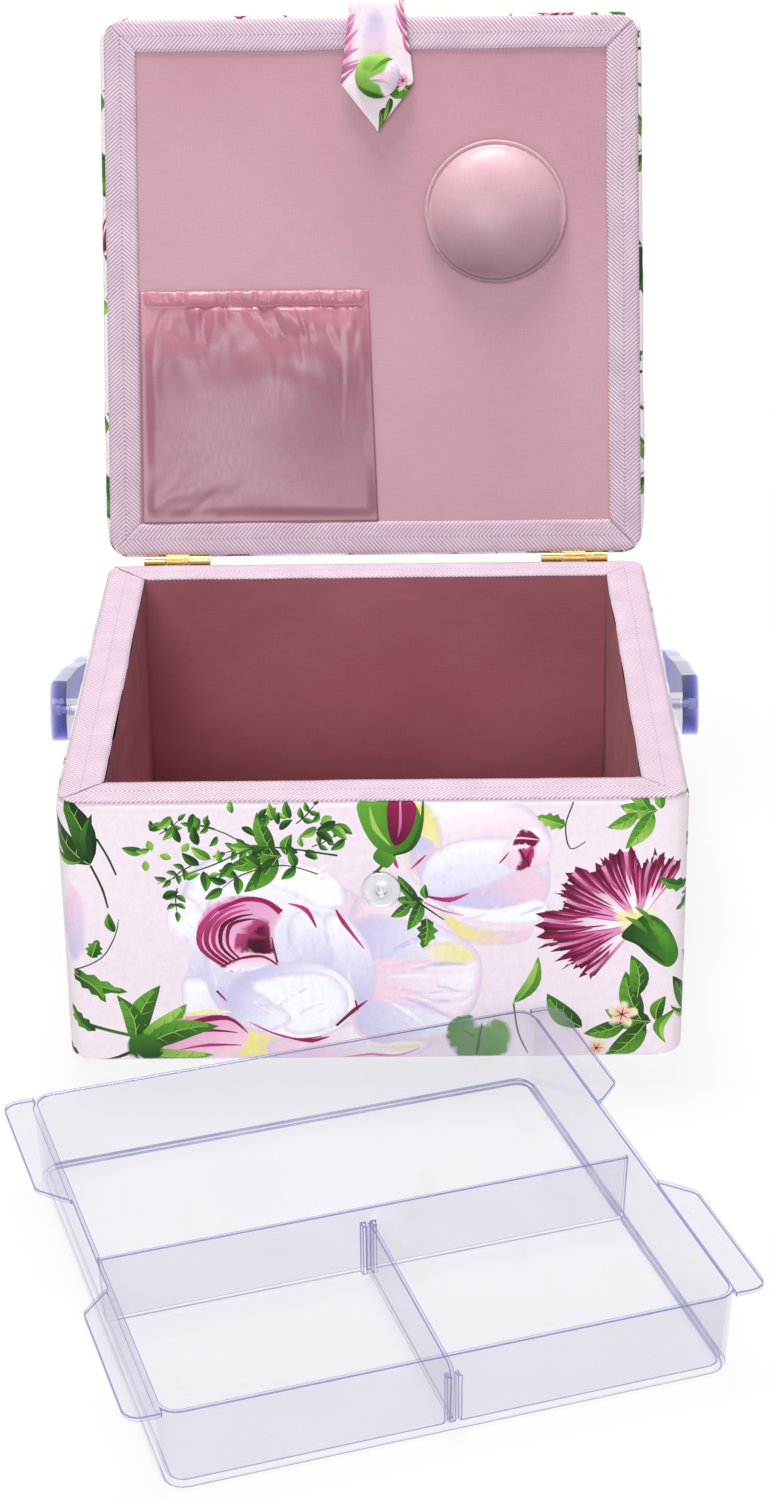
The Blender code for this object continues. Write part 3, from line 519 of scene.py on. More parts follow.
def leaf(length, width, bend=0.0, colours=GREEN_TONES, teeth=0, vein=True):
    """A leaf from (0, 0) along +x: a dark half, a fresh half and a pale vein."""
    dark, middle, fresh = colours

    def spine(t):
        return (length * t, bend * sin(pi * t) + bend * 0.3 * t)

    def edge(side):
        points = []
        for step in range(9):
            t = step / 8
            x, y = spine(t)
            w = side * width / 2 * sin(pi * t ** 0.8) ** 0.85
            if teeth and 0 < step < 8:
                w *= 1 + teeth * (0.28 if step % 2 else -0.22)
            points.append((x, y + w))
        return points

    upper, lower = edge(1), edge(-1)
    made = [(upper + lower[-2:0:-1], middle, dark, (spine(1), spine(0)), 0, 1.0)]
    centre = [spine(step / 8) for step in range(9)]
    made.append((upper[1:-1] + centre[-2:0:-1], fresh, middle, (upper[5], centre[1]), 0, 0.9))
    if vein:
        made += stroke(centre[:8], 0.35, 0.1, PALE_LEAF if width > 5 else dark, per=1)
    if width > 6:
        for side in (1, -1):
            for t in (0.25, 0.45, 0.65):
                x, y = spine(t)
                reach = width * 0.36 * sin(pi * t ** 0.8)
                made += stroke([(x, y), (x + reach * 0.9, y + side * reach)], 0.3, 0.08,
                               dark if side > 0 else PALE_LEAF, per=1)
    return made


def spray(stem, sizes):
    """Small leaves in pairs along a thin stem."""
    made = stroke(stem, 0.6, 0.3, DARK_LEAF)
    line = curve(stem, False, 6)
    for index, size in enumerate(sizes):
        spot = int((index + 1) / (len(sizes) + 1) * (len(line) - 1))
        x, y = line[spot]
        x1, y1 = line[min(spot + 1, len(line) - 1)]
        heading = degrees(atan2(y1 - y, x1 - x))
        for side in (1, -1):
            made += moved(leaf(size, size * 0.5, side * 0.4, vein=size > 6), x, y, heading + side * 55)
    x, y = line[-1]
    made += moved(leaf(sizes[-1] * 1.1, sizes[-1] * 0.5, 0.3, vein=False), x, y, heading)
    return made


def big_rose():
    """Large white rose, seen a little from the left, with a magenta heart."""
    made = []
    # outer and back petals
    made += petal([(-62, 28), (-60, 48), (-44, 56), (-24, 52), (-8, 44), (6, 36), (12, 20), (-20, 16)],
                  WHITE_PETAL, BLUSH, ((-20, 52), (-10, 20)), 3.0)
    made += petal([(-62, 12), (-71, 22), (-68, 36), (-58, 34), (-52, 14), (-54, -14), (-66, -8)],
                  WHITE_PETAL, LAVENDER, ((-70, 20), (-54, -4)), 2.0)
    made += petal([(-66, -2), (-63, -26), (-46, -37), (-30, -36), (-40, -18), (-54, -2)],
                  WHITE_PETAL, LAVENDER, ((-62, -8), (-38, -34)), 2.0)
    made += petal([(-48, -22), (-50, -38), (-30, -41), (-12, -40), (-18, -22)],
                  YELLOW, BLUSH, ((-40, -34), (-14, -30)), 4.0)
    made += petal([(-30, -30), (-26, -42), (-4, -42), (26, -40), (36, -30), (20, -20)],
                  BLUSH, WHITE_PETAL, ((-10, -42), (10, -22)), 3.0)
    made += petal([(2, 30), (20, 34), (40, 22), (54, 10), (55, -8), (48, -22), (30, -30), (6, -28)],
                  WHITE_PETAL, BLUSH, ((52, 6), (8, -12)), 3.0)
    made += petal([(2, 24), (14, 28), (30, 24), (46, 16), (54, 6), (40, 4), (20, 6), (4, 8)],
                  WHITE_PETAL, LAVENDER, ((50, 10), (6, 14)), 2.5, edge=BLUSH)
    made += petal([(4, 4), (20, 5), (38, 2), (55, 2), (50, -12), (34, -14), (16, -12), (4, -10)],
                  WHITE_PETAL, BLUSH, ((52, -4), (6, -2)), 2.5, edge=BLUSH)
    made += petal([(4, -12), (18, -12), (36, -16), (49, -22), (38, -31), (20, -32), (4, -28)],
                  WHITE_PETAL, LAVENDER, ((44, -24), (6, -14)), 2.5, edge=BLUSH)
    made += patch([(30, 14), (42, 16), (54, 9), (48, 3), (36, 5)], YELLOW, CREAM,
                  ((46, 12), (32, 6)), 3.0, 0.85)
    made += stroke([(10, -34), (24, -35), (40, -30)], 1.0, 0.6, YELLOW, CREAM, 5.0, soft=1.5)
    for heading, start, end, tone, width in ((27, 14, 44, LAVENDER, 3.4), (18, 22, 50, BLUSH, 2.6),
                                             (9, 12, 40, BLUSH, 3.2), (4, 26, 53, LAVENDER, 3.0),
                                             (-5, 14, 46, WHITE_PETAL, 3.4), (-11, 24, 50, LAVENDER, 2.6),
                                             (-20, 12, 42, BLUSH, 3.0), (-27, 20, 50, LAVENDER, 3.4),
                                             (-38, 16, 44, WHITE_PETAL, 3.2), (-46, 20, 42, BLUSH, 2.4)):
        line = [turned(start, 0, heading), turned((start + end) / 2, 0, heading + 3),
                turned(end, 0, heading)]
        made += stroke(line, 0.5, 0.3, tone, tone, width, soft=0.7)
    # bowl
    made += petal([(-56, 26), (-50, 42), (-34, 48), (-16, 44), (-2, 30), (4, 10), (2, -8), (-10, -22),
                   (-30, -28), (-46, -22), (-56, -6)], WHITE_PETAL, LAVENDER,
                  ((-20, 44), (-26, -26)), 1.6)
    made += petal([(-34, 46), (-20, 52), (-4, 46), (2, 34), (-6, 30), (-20, 36)], WHITE_PETAL,
                  WHITE_PETAL, None, 1.5)
    made += petal([(-40, 52), (-30, 56), (-22, 50), (-34, 44)], YELLOW, CREAM,
                  ((-38, 52), (-24, 50)), 2.0)
    made += petal([(-22, 26), (-12, 30), (-6, 22), (-4, 4), (-12, -2), (-20, 6)], WHITE_PETAL,
                  LAVENDER, ((-14, 28), (-10, 0)), 1.5)
    made += petal([(-8, 28), (4, 24), (12, 8), (12, -10), (4, -14), (-4, 4)], WHITE_PETAL,
                  LAVENDER, ((2, 24), (4, -12)), 1.5)
    # round front petal
    made += petal([(-46, -2), (-30, 6), (-10, 6), (3, -4), (4, -18), (-6, -28), (-22, -31),
                   (-36, -26), (-46, -14)], LAVENDER, WHITE_PETAL, ((-30, 6), (-16, -10)), 0.8)
    made += petal([(-40, -4), (-26, 1), (-8, 1), (1, -8), (0, -20), (-10, -27), (-24, -27),
                   (-30, -14)], WHITE_PETAL, WHITE_PETAL, None, 2.0)
    made += petal([(-52, -4), (-40, -12), (-26, -14), (-22, -22), (-34, -27), (-48, -20)], LAVENDER,
                  WHITE_PETAL, ((-44, -12), (-26, -24)), 2.5)
    # heart
    made += patch([(-59, 16), (-56, 30), (-44, 37), (-30, 35), (-24, 28), (-27, 22), (-28, 8),
                   (-34, 3), (-48, 2)], PINK, BLUSH, ((-50, 30), (-36, 6)), 0.8)
    for index in range(5):
        inset = index * 2.6
        width = 2.8 - 0.25 * index
        start = (-45 + inset * 0.3, 2 + inset * 0.55)
        made += stroke([start, (-57 + inset, 12 + inset * 0.2), (-57 + inset * 1.1, 22 + inset * 0.1),
                        (-50 + inset, 31 - inset * 0.5), (-40 + inset * 0.5, 35 - inset * 0.85)],
                       width * 0.5, 0.3, WINE if index % 2 else MAGENTA, WINE if index > 2 else ROSE, width)
    made += stroke([(-50, 30), (-40, 35), (-31, 34), (-25, 29)], 1.0, 2.8, MAGENTA, MAGENTA, 2.2)
    made += patch([(-44, 11), (-43, 20), (-36, 26), (-30, 26), (-29, 16), (-28, 10), (-36, 11)],
                  ROSE, WINE, ((-42, 22), (-32, 12)), 0.4)
    made += patch([(-40, 12), (-37, 20), (-31, 24), (-30, 15), (-31, 10)], WINE, (60, 8, 26), None,
                  0.4)
    made += stroke([(-50, 4), (-42, 8), (-33, 9), (-27, 5)], 0.4, 0.8, WINE, MAGENTA, 1.4)
    made += patch([(-50, 2), (-44, 7), (-36, 8), (-30, 5), (-38, 2)], BLUSH, WHITE_PETAL, None, 0.8)
    made += stroke([(-27, 6), (-28, 11), (-29, 18)], 1.2, 0.3, MAGENTA, WINE, 0.9)
    # accents
    made += stroke([(-22, 33), (-15, 30), (-11, 22)], 0.4, 0.5, ROSE, MAGENTA, 2.2)
    made += stroke([(-3, 30), (0, 24), (8, 12)], 0.6, 0.3, MAGENTA, ROSE, 2.0)
    made += stroke([(-52, -7), (-48, -12)], 1.0, 0.3, WINE, MAGENTA, 0.9)
    made += stroke([(-39, -22), (-30, -27), (-20, -30), (-10, -29)], 0.3, 0.5, ROSE, MAGENTA, 1.2)
    made += stroke([(-22, -30), (-14, -31), (-7, -29)], 0.5, 0.4, MAGENTA, MAGENTA, 2.0)
    made += stroke([(-4, -24), (3, -17), (9, -12)], 1.0, 0.3, WINE, MAGENTA, 1.8)
    made += stroke([(4, -12), (5, -17)], 0.8, 0.3, MAGENTA, WINE, 0.8)
    made += stroke([(-2, -40), (10, -38), (20, -39), (30, -35)], 0.5, 0.4, ROSE, PINK, 1.8)
    return made


def tulip_rose():
    """White and blush rose seen from the side, its heart at the right."""
    made = []
    made += petal([(-30, 30), (-10, 34), (16, 33), (30, 20), (26, 6), (0, 6), (-24, 10)], WHITE_PETAL,
                  BLUSH, ((0, 33), (6, 8)), 2.5)
    made += petal([(-26, 32), (-18, 32), (-12, 20), (-14, 4), (-22, -4), (-28, 8)], YELLOW, CREAM,
                  ((-20, 30), (-20, 0)), 2.0)
    made += petal([(-24, 18), (-16, 16), (-14, 4), (-20, -2), (-26, 6)], LAVENDER, BLUSH,
                  ((-22, 16), (-18, 0)), 1.5)
    made += petal([(-22, -2), (-16, 12), (2, 18), (20, 16), (30, 6), (28, -12), (8, -20), (-12, -14)],
                  WHITE_PETAL, LAVENDER, ((0, 16), (6, -18)), 1.5)
    made += petal([(-14, -10), (6, -2), (20, 4), (30, -2), (26, -14), (4, -20)], BLUSH, LAVENDER,
                  ((18, 2), (0, -14)), 2.0)
    made += petal([(-12, -12), (8, -14), (26, -10), (30, -18), (16, -22), (-2, -19)], WHITE_PETAL,
                  WHITE_PETAL, None, 1.2)
    made += petal([(-14, -15), (0, -22), (14, -24), (24, -22), (20, -30), (2, -31), (-8, -26)], YELLOW,
                  BLUSH, ((-8, -24), (18, -28)), 1.8)
    made += petal([(10, 8), (16, 20), (26, 22), (31, 14), (28, 4), (18, 2)], WHITE_PETAL,
                  BLUSH, ((22, 22), (20, 4)), 1.0)
    made += patch([(15, 14), (19, 21), (26, 17), (24, 13), (20, 14)], MAGENTA, WINE, None, 0.2)
    made += patch([(17, 12), (20, 13), (24, 13), (23, 6), (20, 3), (16, 3), (18, 8)], ROSE, WINE,
                  ((20, 13), (20, 3)), 0.3)
    made += stroke([(18, 12), (20, 7), (18, 3)], 0.6, 0.5, WINE, MAGENTA, 1.6)
    made += stroke([(23, 12), (21, 8), (22, 4)], 0.6, 0.4, MAGENTA, WINE, 1.2)
    made += stroke([(14, 16), (18, 17), (26, 16)], 0.3, 0.3, BLUSH, BLUSH, 0.9)
    made += stroke([(10, 6), (14, 11)], 0.5, 0.2, WINE, MAGENTA, 0.7)
    made += stroke([(-32, 11), (-31, 6), (-30, 4)], 0.4, 0.5, MAGENTA, ROSE, 1.6)
    made += stroke([(-25, 4), (-22, 7), (-19, 10)], 0.4, 0.3, ROSE, MAGENTA, 1.1)
    made += stroke([(-20, -8), (-10, -10), (-2, -7)], 0.5, 0.3, MAGENTA, ROSE, 2.4)
    made += stroke([(-20, -11), (-12, -15), (-4, -17)], 0.4, 0.2, MAGENTA, PINK, 0.9)
    return made


def carnation():
    """Striped carnation: pink wedges that end in ragged wine-red frills, on a green calyx."""
    made = []
    rng = random.Random(4)
    made += patch([(-8, 6), (4, 8), (9, 0), (4, -8), (-8, -6)], CREAM, YELLOW, None, 1.0)
    for index in range(9):
        angle = 76 + index * 19
        reach = (33, 29, 35, 32, 38, 34, 41, 36, 33)[index]
        half = 13
        a, b = angle - half, angle + half
        outline = [turned(3, 0, angle)]
        for step in range(8):
            part = step / 7
            bite = rng.uniform(0.96, 1.06) if step % 2 else rng.uniform(0.82, 0.93)
            outline.append(turned(reach * bite, 0, a + (b - a) * part))
        made.append((outline, WINE, ROSE, (turned(reach, 0, angle), turned(reach * 0.45, 0, angle)),
                     0, 1.0))
        inner = [turned(3, 0, angle)]
        for step in range(7):
            part = step / 6
            bite = (0.50 if step % 2 else 0.80) + 0.10 * rng.random()
            inner.append(turned(reach * bite, 0, a + 2 + (b - a - 4) * part))
        made.append((inner, ROSE if index % 3 == 1 else PINK, PINK if index % 2 else WHITE_PETAL,
                     (turned(reach * 0.8, 0, angle), turned(8, 0, angle)), 0, 1.0))
        for line in range(5):
            lean = angle + (line - 2) * 4.6 + rng.uniform(-1.5, 1.5)
            start = reach * rng.uniform(0.30, 0.55)
            tone = (WINE, PINK, (78, 6, 34), WINE, BLUSH)[line]
            made += stroke([turned(reach * 0.93, 0, lean), turned(reach * 0.7, 0, lean + 1.5),
                            turned(start, 0, lean)], 2.0, 0.2, tone, MAGENTA, 1.3)
        made += stroke([turned(6, 0, angle + half), turned(reach * 0.9, 0, angle + half)], 0.2, 0.9,
                       PINK, WINE, 0.6)
    made += patch([(-11, 3), (-4, 6), (5, 3), (4, -4), (-6, -5)], YELLOW, CREAM, None, 2.0)
    made += patch([(-4, -2), (2, 4), (9, 2), (15, -5), (19, -14), (15, -19), (7, -15), (1, -10),
                   (-6, -7)], DARK_LEAF, LEAF, ((-6, -8), (13, -8)), 0)
    made += patch([(3, 2), (9, 0), (15, -6), (18, -14), (13, -13), (8, -7)], FRESH, LEAF,
                  ((9, 1), (14, -15)), 0.4)
    made += stroke([(-6, 2), (-1, 0), (4, -4)], 0.3, 0.6, FRESH, LEAF, 2.4)
    made += stroke([(-3, 7), (2, 4), (6, -1)], 0.3, 0.6, FRESH, LEAF, 2.2)
    made += stroke([(-4, -7), (4, -11), (13, -17)], 0.4, 0.5, DARK_LEAF, DARK_LEAF, 1.4)
    return made


def bud():
    """Closed bud lying along +x, wrapped in green with a wine-red tip."""
    made = stroke([(-34, -14), (-20, -13), (-8, -8), (0, -4)], 0.9, 1.6, DARK_LEAF)
    made += stroke([(-32, 8), (-22, 4), (-8, 0)], 0.8, 1.6, DARK_LEAF, LEAF)
    for x, y, angle, long, wide in ((-30, -10, 158, 16, 5), (-26, -12, 214, 14, 5), (-22, 2, 130, 15, 5),
                                    (-16, -12, 244, 12, 5)):
        made += moved(leaf(long, wide, 1.5, teeth=1), x, y, angle)
    made += moved(leaf(30, 10, 3), -6, -4, 66)
    made += moved(leaf(24, 8, -3), -6, -4, 108)
    made += moved(leaf(26, 9, -2, FRESH_TONES), -4, -2, 42)
    made += patch([(0, -8), (6, 3), (18, 10), (32, 9), (41, 1), (36, -9), (18, -14), (6, -13)], PINK, BLUSH,
                  ((18, 8), (30, -10)), 0.3)
    made += stroke([(6, -2), (18, 6), (32, 8), (40, 1)], 0.8, 0.3, WINE, MAGENTA, 2.8)
    made += stroke([(10, -3), (22, 2), (36, 1)], 0.4, 0.3, MAGENTA, WINE, 1.6)
    made += stroke([(12, -7), (24, -5), (37, -5)], 0.4, 0.3, ROSE, MAGENTA, 1.6)
    made += stroke([(14, 9), (24, 11), (34, 11)], 0.6, 0.3, YELLOW, CREAM, 3.0)
    made += moved(leaf(34, 10, 3), -4, -6, 16)
    made += moved(leaf(38, 11, -4), -6, -8, -12)
    made += moved(leaf(30, 8, -2, FRESH_TONES), -4, -8, -2)
    made += patch([(-9, -10), (-9, -2), (-3, 1), (4, -2), (5, -9), (-1, -13)], LEAF, DARK_LEAF,
                  ((-4, 0), (-2, -12)), 0.4)
    return made


def small_bud():
    """Upright bud, its tip up, on a curved stem."""
    made = stroke([(-10, -26), (-9, -20), (-4, -14), (0, -8)], 0.5, 1.4, DARK_LEAF, LEAF)
    made += patch([(-4, -13), (-7, -9), (-4, -4), (1, -4), (2, -9), (-1, -14)], LEAF, FRESH,
                  ((-6, -12), (2, -6)), 0)
    made += patch([(-13, 14), (-10, 2), (-4, -6), (5, -7), (12, 0), (11, 12), (4, 16), (-6, 15)],
                  FRESH, LEAF, ((-10, 10), (8, -4)), 0)
    made += patch([(0, 16), (-1, 4), (2, -4), (8, 2), (10, 14)], MAGENTA, WINE, ((8, 14), (0, 0)), 0)
    made += stroke([(4, 16), (4, 6), (3, 0)], 0.6, 0.3, PINK, ROSE, 1.2)
    made += stroke([(-8, 13), (-6, 4), (0, -4)], 0.5, 0.3, PALE_LEAF, PALE_LEAF, 2.2)
    made += stroke([(13, 15), (12, 4), (8, -5), (1, -8)], 0.8, 0.6, LEAF, DARK_LEAF, 2.2)
    return made


def dark_leaves():
    """A fan of long dark leaves on one stem."""
    made = stroke([(0, 0), (4, -10), (6, -19)], 1.0, 0.7, DARK_LEAF)
    for length, width, bend, tones, u, v, angle in (
            (28, 9, 2, DEEP_TONES, 0, 0, 128), (34, 10, -3, ((18, 30, 26), DARK_LEAF, LEAF), 0, 0, 112),
            (22, 5, 2, DEEP_TONES, 0, 1, 84), (18, 4, 4, (DARK_LEAF, LEAF, PALE_LEAF), -1, 3, 160)):
        made += moved(leaf(length, width, bend, tones), u, v, angle)
    made += stroke([(3, 12), (7, 4), (10, -4)], 0.9, 0.8, DARK_LEAF)
    made += moved(leaf(16, 5, -5, FRESH_TONES), -16, 6, 262)
    return made


def leafy_twig(tones=GREEN_TONES):
    """Five leaves on a short stem."""
    made = stroke([(0, 0), (-8, 2), (-14, 4)], 0.9, 0.5, DARK_LEAF)
    for x, y, angle, length, width in ((0, 0, 150, 20, 10), (-4, 2, 95, 24, 9), (-2, 0, 215, 26, 10),
                                       (-10, 2, 185, 18, 8), (2, 0, 60, 12, 6)):
        made += moved(leaf(length, width, 1.5, tones), x, y, angle)
    return made


def blossom(tone=PEACH):
    """Small flower of five petals, with wine-red stamens."""
    made = []
    for index in range(5):
        made += moved(patch([(0, 0), (4, 3), (8, 2), (8, -2), (4, -3)], CREAM, tone,
                            ((8, 0), (2, 0)), 0.5), angle=index * 72 + 10)
    for index in range(6):
        made += stroke([(0, 0), turned(4.2, 0, index * 60 + 20)], 0.8, 0.2, WINE, MAGENTA, 0.7, per=1)
    return made


def heart_leaf():
    """Broad leaf with a notch at its stem."""
    made = patch([(0, -14), (-13, -4), (-14, 8), (-6, 13), (0, 8), (7, 13), (14, 6), (12, -6)],
                 LEAF, FRESH, ((-8, -10), (8, 12)), 0.3)
    made += stroke([(0, 9), (0, -2), (0, -13)], 0.5, 0.4, DARK_LEAF, DARK_LEAF, 1.4)
    made += patch([(1, 8), (7, 11), (12, 5), (10, -5), (2, -11)], FRESH, LEAF, ((10, 8), (2, -8)), 1.5)
    made += stroke([(-2, 2), (-8, 5)], 0.8, 0.3, DARK_LEAF, LEAF, 0.9)
    return made


def bouquet():
    """One repeat of the print, 250 mm wide and 120 high, about the middle of its foot."""
    made = []
    for motif, u, v, angle, size in (
            (big_rose(), -12, 42, 0, 1), (leafy_twig(), -36, 96, 12, 0.8),
            (spray([(-22, 88), (-36, 92), (-52, 88), (-60, 82)], [8, 9, 8]), 0, 0, 0, 1),
            (tulip_rose(), 40, 86, 0, 1), (small_bud(), 7, 104, 0, 1), (carnation(), 106, 64, -8, 1),
            (bud(), -92, 14, 0, 1), (dark_leaves(), -112, 92, 0, 1)):
        made += moved(motif, u, v, angle, size)
    for u, v, angle, size in ((-72, 92, 200, 1.0), (-84, 106, 20, 0.9), (-62, 108, 150, 0.9),
                              (-30, 110, 30, 1.0), (-78, 82, 250, 1.0), (-24, 100, 10, 0.9),
                              (-47, 100, 175, 1.1)):
        made += moved(spray([(0, 0), (5, 1), (10, 3)], [5, 4.5]), u, v, angle, size)
    for u, v in ((-88, 101), (-82, 96), (-74, 100), (-90, 92), (-34, 114), (-18, 112)):
        made += moved(patch([(-2.4, 0), (0, 1.6), (2.4, 0), (0, -1.6)], PALE_LEAF, FRESH), u, v, u * 9)
    rng = random.Random(11)
    for index in range(46):
        part = index / 45
        u = -90 + 78 * part + rng.uniform(-4, 4)
        v = rng.uniform(77 + 19 * step_up(u, -62, -36), 115)
        tones = (GREEN_TONES, FRESH_TONES, DEEP_TONES)[index % 3]
        size = rng.uniform(5.0, 9.5)
        made += moved(leaf(size, size * 0.46, 0.6, tones, vein=size > 7), u, v, rng.uniform(0, 360))
    made += stroke([(-14, 96), (-44, 100), (-64, 92), (-86, 84)], 0.9, 0.3, DARK_LEAF, LEAF, 0.8)
    made += stroke([(-44, 97), (-58, 106), (-70, 110)], 0.7, 0.3, DARK_LEAF, LEAF, 0.6)
    made += moved(leafy_twig(), 20, 76, 30, 0.55)
    made += stroke([(0, 88), (8, 84), (18, 75), (28, 67)], 0.5, 0.5, DARK_LEAF, DARK_LEAF, 1.1)
    made += moved(leaf(14, 7, 1, teeth=1), 21, 68, 262)
    made += moved(leaf(24, 6, -3, FRESH_TONES), 56, 28, 68)
    made += stroke([(56, 28), (58, 14), (62, 4)], 0.8, 0.5, LEAF)
    for motif, u, v, angle, size in (
            (heart_leaf(), 42, 10, -8, 0.95), (leaf(12, 6, 0, FRESH_TONES, teeth=1), 76, 108, 160, 1),
            (stroke([(79, 118), (76, 108), (78, 98), (84, 101)], 0.6, 0.4, DARK_LEAF), 0, 0, 0, 1),
            (leafy_twig(FRESH_TONES), 112, 114, 20, 0.75), (leafy_twig(), 112, 18, 10, 1),
            (blossom(), 100, 22, 0, 0.8), (blossom(), 90, 6, 40, 0.65),
            (leaf(22, 9, 2), 84, 16, 130, 1), (leaf(20, 8, -2), 106, 30, 100, 1)):
        made += moved(motif, u, v, angle, size)
    made += moved(patch([(-4, -14), (-8, 4), (-2, 22), (4, 12), (3, -8)], BLUSH, LAVENDER,
                        ((-4, 18), (2, -10)), 1.2), -119, 62)
    made += stroke([(-121, 44), (-110, 50), (-104, 60), (-102, 68)], 0.6, 0.4, DARK_LEAF, LEAF)
    for length, width, bend, teeth, u, v, angle in (
            (24, 6, -2, 1, -122, 44, -22), (18, 6, 2, 1, -122, 42, -46), (9, 6, 0, 1, -114, 50, 70),
            (9, 4, 1, 0, -104, 62, 100)):
        made += moved(leaf(length, width, bend, teeth=teeth), u, v, angle)
    return made


def layout(low_u, high_u, low_v, high_v):
    """Repeats that cover a rectangle of cloth, each second column dropped by half."""
    repeat_u, repeat_v = 250.0, 150.0
    beside, above, below = 135, 125, 5  # how far one repeat's shapes reach from its foot
    made, one = [], bouquet()
    for column in range(-3, 4):
        for row in range(-3, 4):
            u = column * repeat_u
            v = row * repeat_v + (repeat_v / 2 if column % 2 else 0)
            if u + beside < low_u or u - beside > high_u or v + above < low_v or v - below > high_v:
                continue
            made += moved(one, u, v)
    return made


def clip_to(shapes, low_u, high_u, low_v, high_v):
    """Only the shapes that reach into a rectangle of cloth."""
    kept = []
    for shape in shapes:
        us, vs = [p[0] for p in shape[0]], [p[1] for p in shape[0]]
        if max(us) < low_u or min(us) > high_u or max(vs) < low_v or min(vs) > high_v:
            continue
        kept.append(shape)
    return kept


def distance_to(points, outline):
    """Distance of each point to a closed outline, in numpy."""
    a = np.asarray(outline)
    b = np.roll(a, -1, axis=0)
    ab = b - a
    long = np.maximum((ab ** 2).sum(1), 1e-9)
    rel = points[:, None, :] - a[None]
    t = np.clip((rel * ab[None]).sum(2) / long, 0, 1)
    gap = rel - t[..., None] * ab[None]
    return np.sqrt((gap ** 2).sum(2)).min(1)


def within(points, outline):
    """Which points lie inside a closed outline, by its winding number, in numpy."""
    a = np.asarray(outline)
    b = np.roll(a, -1, axis=0)
    x, y = points[:, 0, None], points[:, 1, None]
    side = (b[:, 0] - a[:, 0]) * (y - a[:, 1]) - (x - a[:, 0]) * (b[:, 1] - a[:, 1])
    rising = (a[:, 1] <= y) & (b[:, 1] > y) & (side > 0)
    falling = (a[:, 1] > y) & (b[:, 1] <= y) & (side < 0)
    return rising.sum(1) != falling.sum(1)


def printed_cloth(name, shapes, edge, inner, surface, place=None, offset=(0, 0)):
    """A cloth whose print is cut into its mesh.

    edge is the cloth's outline and inner its own grid points, both in millimetres of cloth;
    surface(u, v) puts a cloth point in space. Every motif's outline becomes edges of the
    mesh, and each corner gets the colour of the motifs that cover its face. offset shifts the
    weave and the brush grain, so that they differ from piece to piece.
    """
    us, vs = [p[0] for p in edge], [p[1] for p in edge]
    wanted = clip_to(shapes, min(us), max(us), min(vs), max(vs))
    points, lines = [], []
    for outline in [edge] + [shape[0] for shape in wanted]:
        start, count = len(points), len(outline)
        points += [Vector(p) for p in outline]
        lines += [(start + k, start + (k + 1) % count) for k in range(count)]
    points += [Vector(p) for p in inner]
    flat, _, faces, *_ = delaunay_2d_cdt(points, lines, [], 1, 1e-3, False)
    flat = np.array([tuple(p) for p in flat])
    corners = np.array(faces)
    middles = flat[corners].mean(1)
    keep = np.concatenate([within(part, edge) for part in np.array_split(middles, 40)])
    corners, middles = corners[keep], middles[keep]
    colour = np.empty((len(corners), 3, 3))
    colour[:] = np.array(srgb(*GROUND)[:3])
    for outline, one, two, way, soft, strength in wanted:
        low, high = np.min(outline, axis=0), np.max(outline, axis=0)
        rows = np.nonzero(((middles >= low) & (middles <= high)).all(1))[0]
        rows = rows[within(middles[rows], outline)]
        if not len(rows):
            continue
        where = flat[corners[rows]].reshape(-1, 2)
        start, end = np.array(way[0]), np.array(way[1])
        along = end - start
        t = np.clip(((where - start) @ along) / max(along @ along, 1e-6), 0, 1)[:, None]
        paint = np.array(srgb(*one)[:3]) * (1 - t) + np.array(srgb(*two)[:3]) * t
        share = np.full((len(where), 1), strength)
        if soft:
            share *= np.clip(distance_to(where, outline) / soft, 0, 1)[:, None]
        old = colour[rows].reshape(-1, 3)
        colour[rows] = (old * (1 - share) + paint * share).reshape(-1, 3, 3)
    used, corners = np.unique(corners, return_inverse=True)
    corners = corners.reshape(-1, 3)
    flat = flat[used]
    made = add_mesh(name, [surface(u, v) for u, v in flat], corners.tolist(), PRINTED, place)
    put_cloth(made, [((u + offset[0]) * MM, (v + offset[1]) * MM, 0) for u, v in flat])
    layer = made.data.color_attributes.new("print", "FLOAT_COLOR", "CORNER")
    rgba = np.ones((len(corners) * 3, 4), np.float32)
    rgba[:, :3] = colour.reshape(-1, 3)
    layer.data.foreach_set("color", rgba.ravel())
    return made


def cloth_grid(low_u, high_u, low_v, high_v, step):
    """Points inside a rectangle of cloth, without its outline."""
    return [(u, v) for v in spaced(low_v, high_v, step)[1:-1] for u in spaced(low_u, high_u, step)[1:-1]]


def outline_of(low_u, high_u, low_v, high_v, step):
    """Points round a rectangle of cloth, anticlockwise."""
    lower = [(u, low_v) for u in spaced(low_u, high_u, step)[:-1]]
    right = [(high_u, v) for v in spaced(low_v, high_v, step)[:-1]]
    upper = [(u, high_v) for u in reversed(spaced(low_u, high_u, step)[1:])]
    left = [(low_u, v) for v in reversed(spaced(low_v, high_v, step)[1:])]
    return lower + right + upper + left


# ---------------------------------------------------------------- padded covers

# Millimetres from here on: the covers' corner radius and half their width.
CORNER = 9.2
HALF = BOX_HALF / MM


def rounded_path(u):
    """Point and outward direction, u millimetres round the box from its front's middle.

    Also gives how far along its own side the point is, from -1 to 1, and which side that is.
    """
    straight = HALF - CORNER
    quarter = 2 * straight + pi / 2 * CORNER
    turns = round(u / quarter)
    local = u - turns * quarter
    if abs(local) <= straight:
        point, normal = (local, -HALF), (0.0, -1.0)
    else:
        side = 1 if local > 0 else -1
        angle = (abs(local) - straight) / CORNER
        normal = (side * sin(angle), -cos(angle))
        point = (side * straight + CORNER * normal[0], -straight + CORNER * normal[1])
    point, normal = turned(*point, 90 * turns), turned(*normal, 90 * turns)
    return point, normal, local / straight, turns % 4


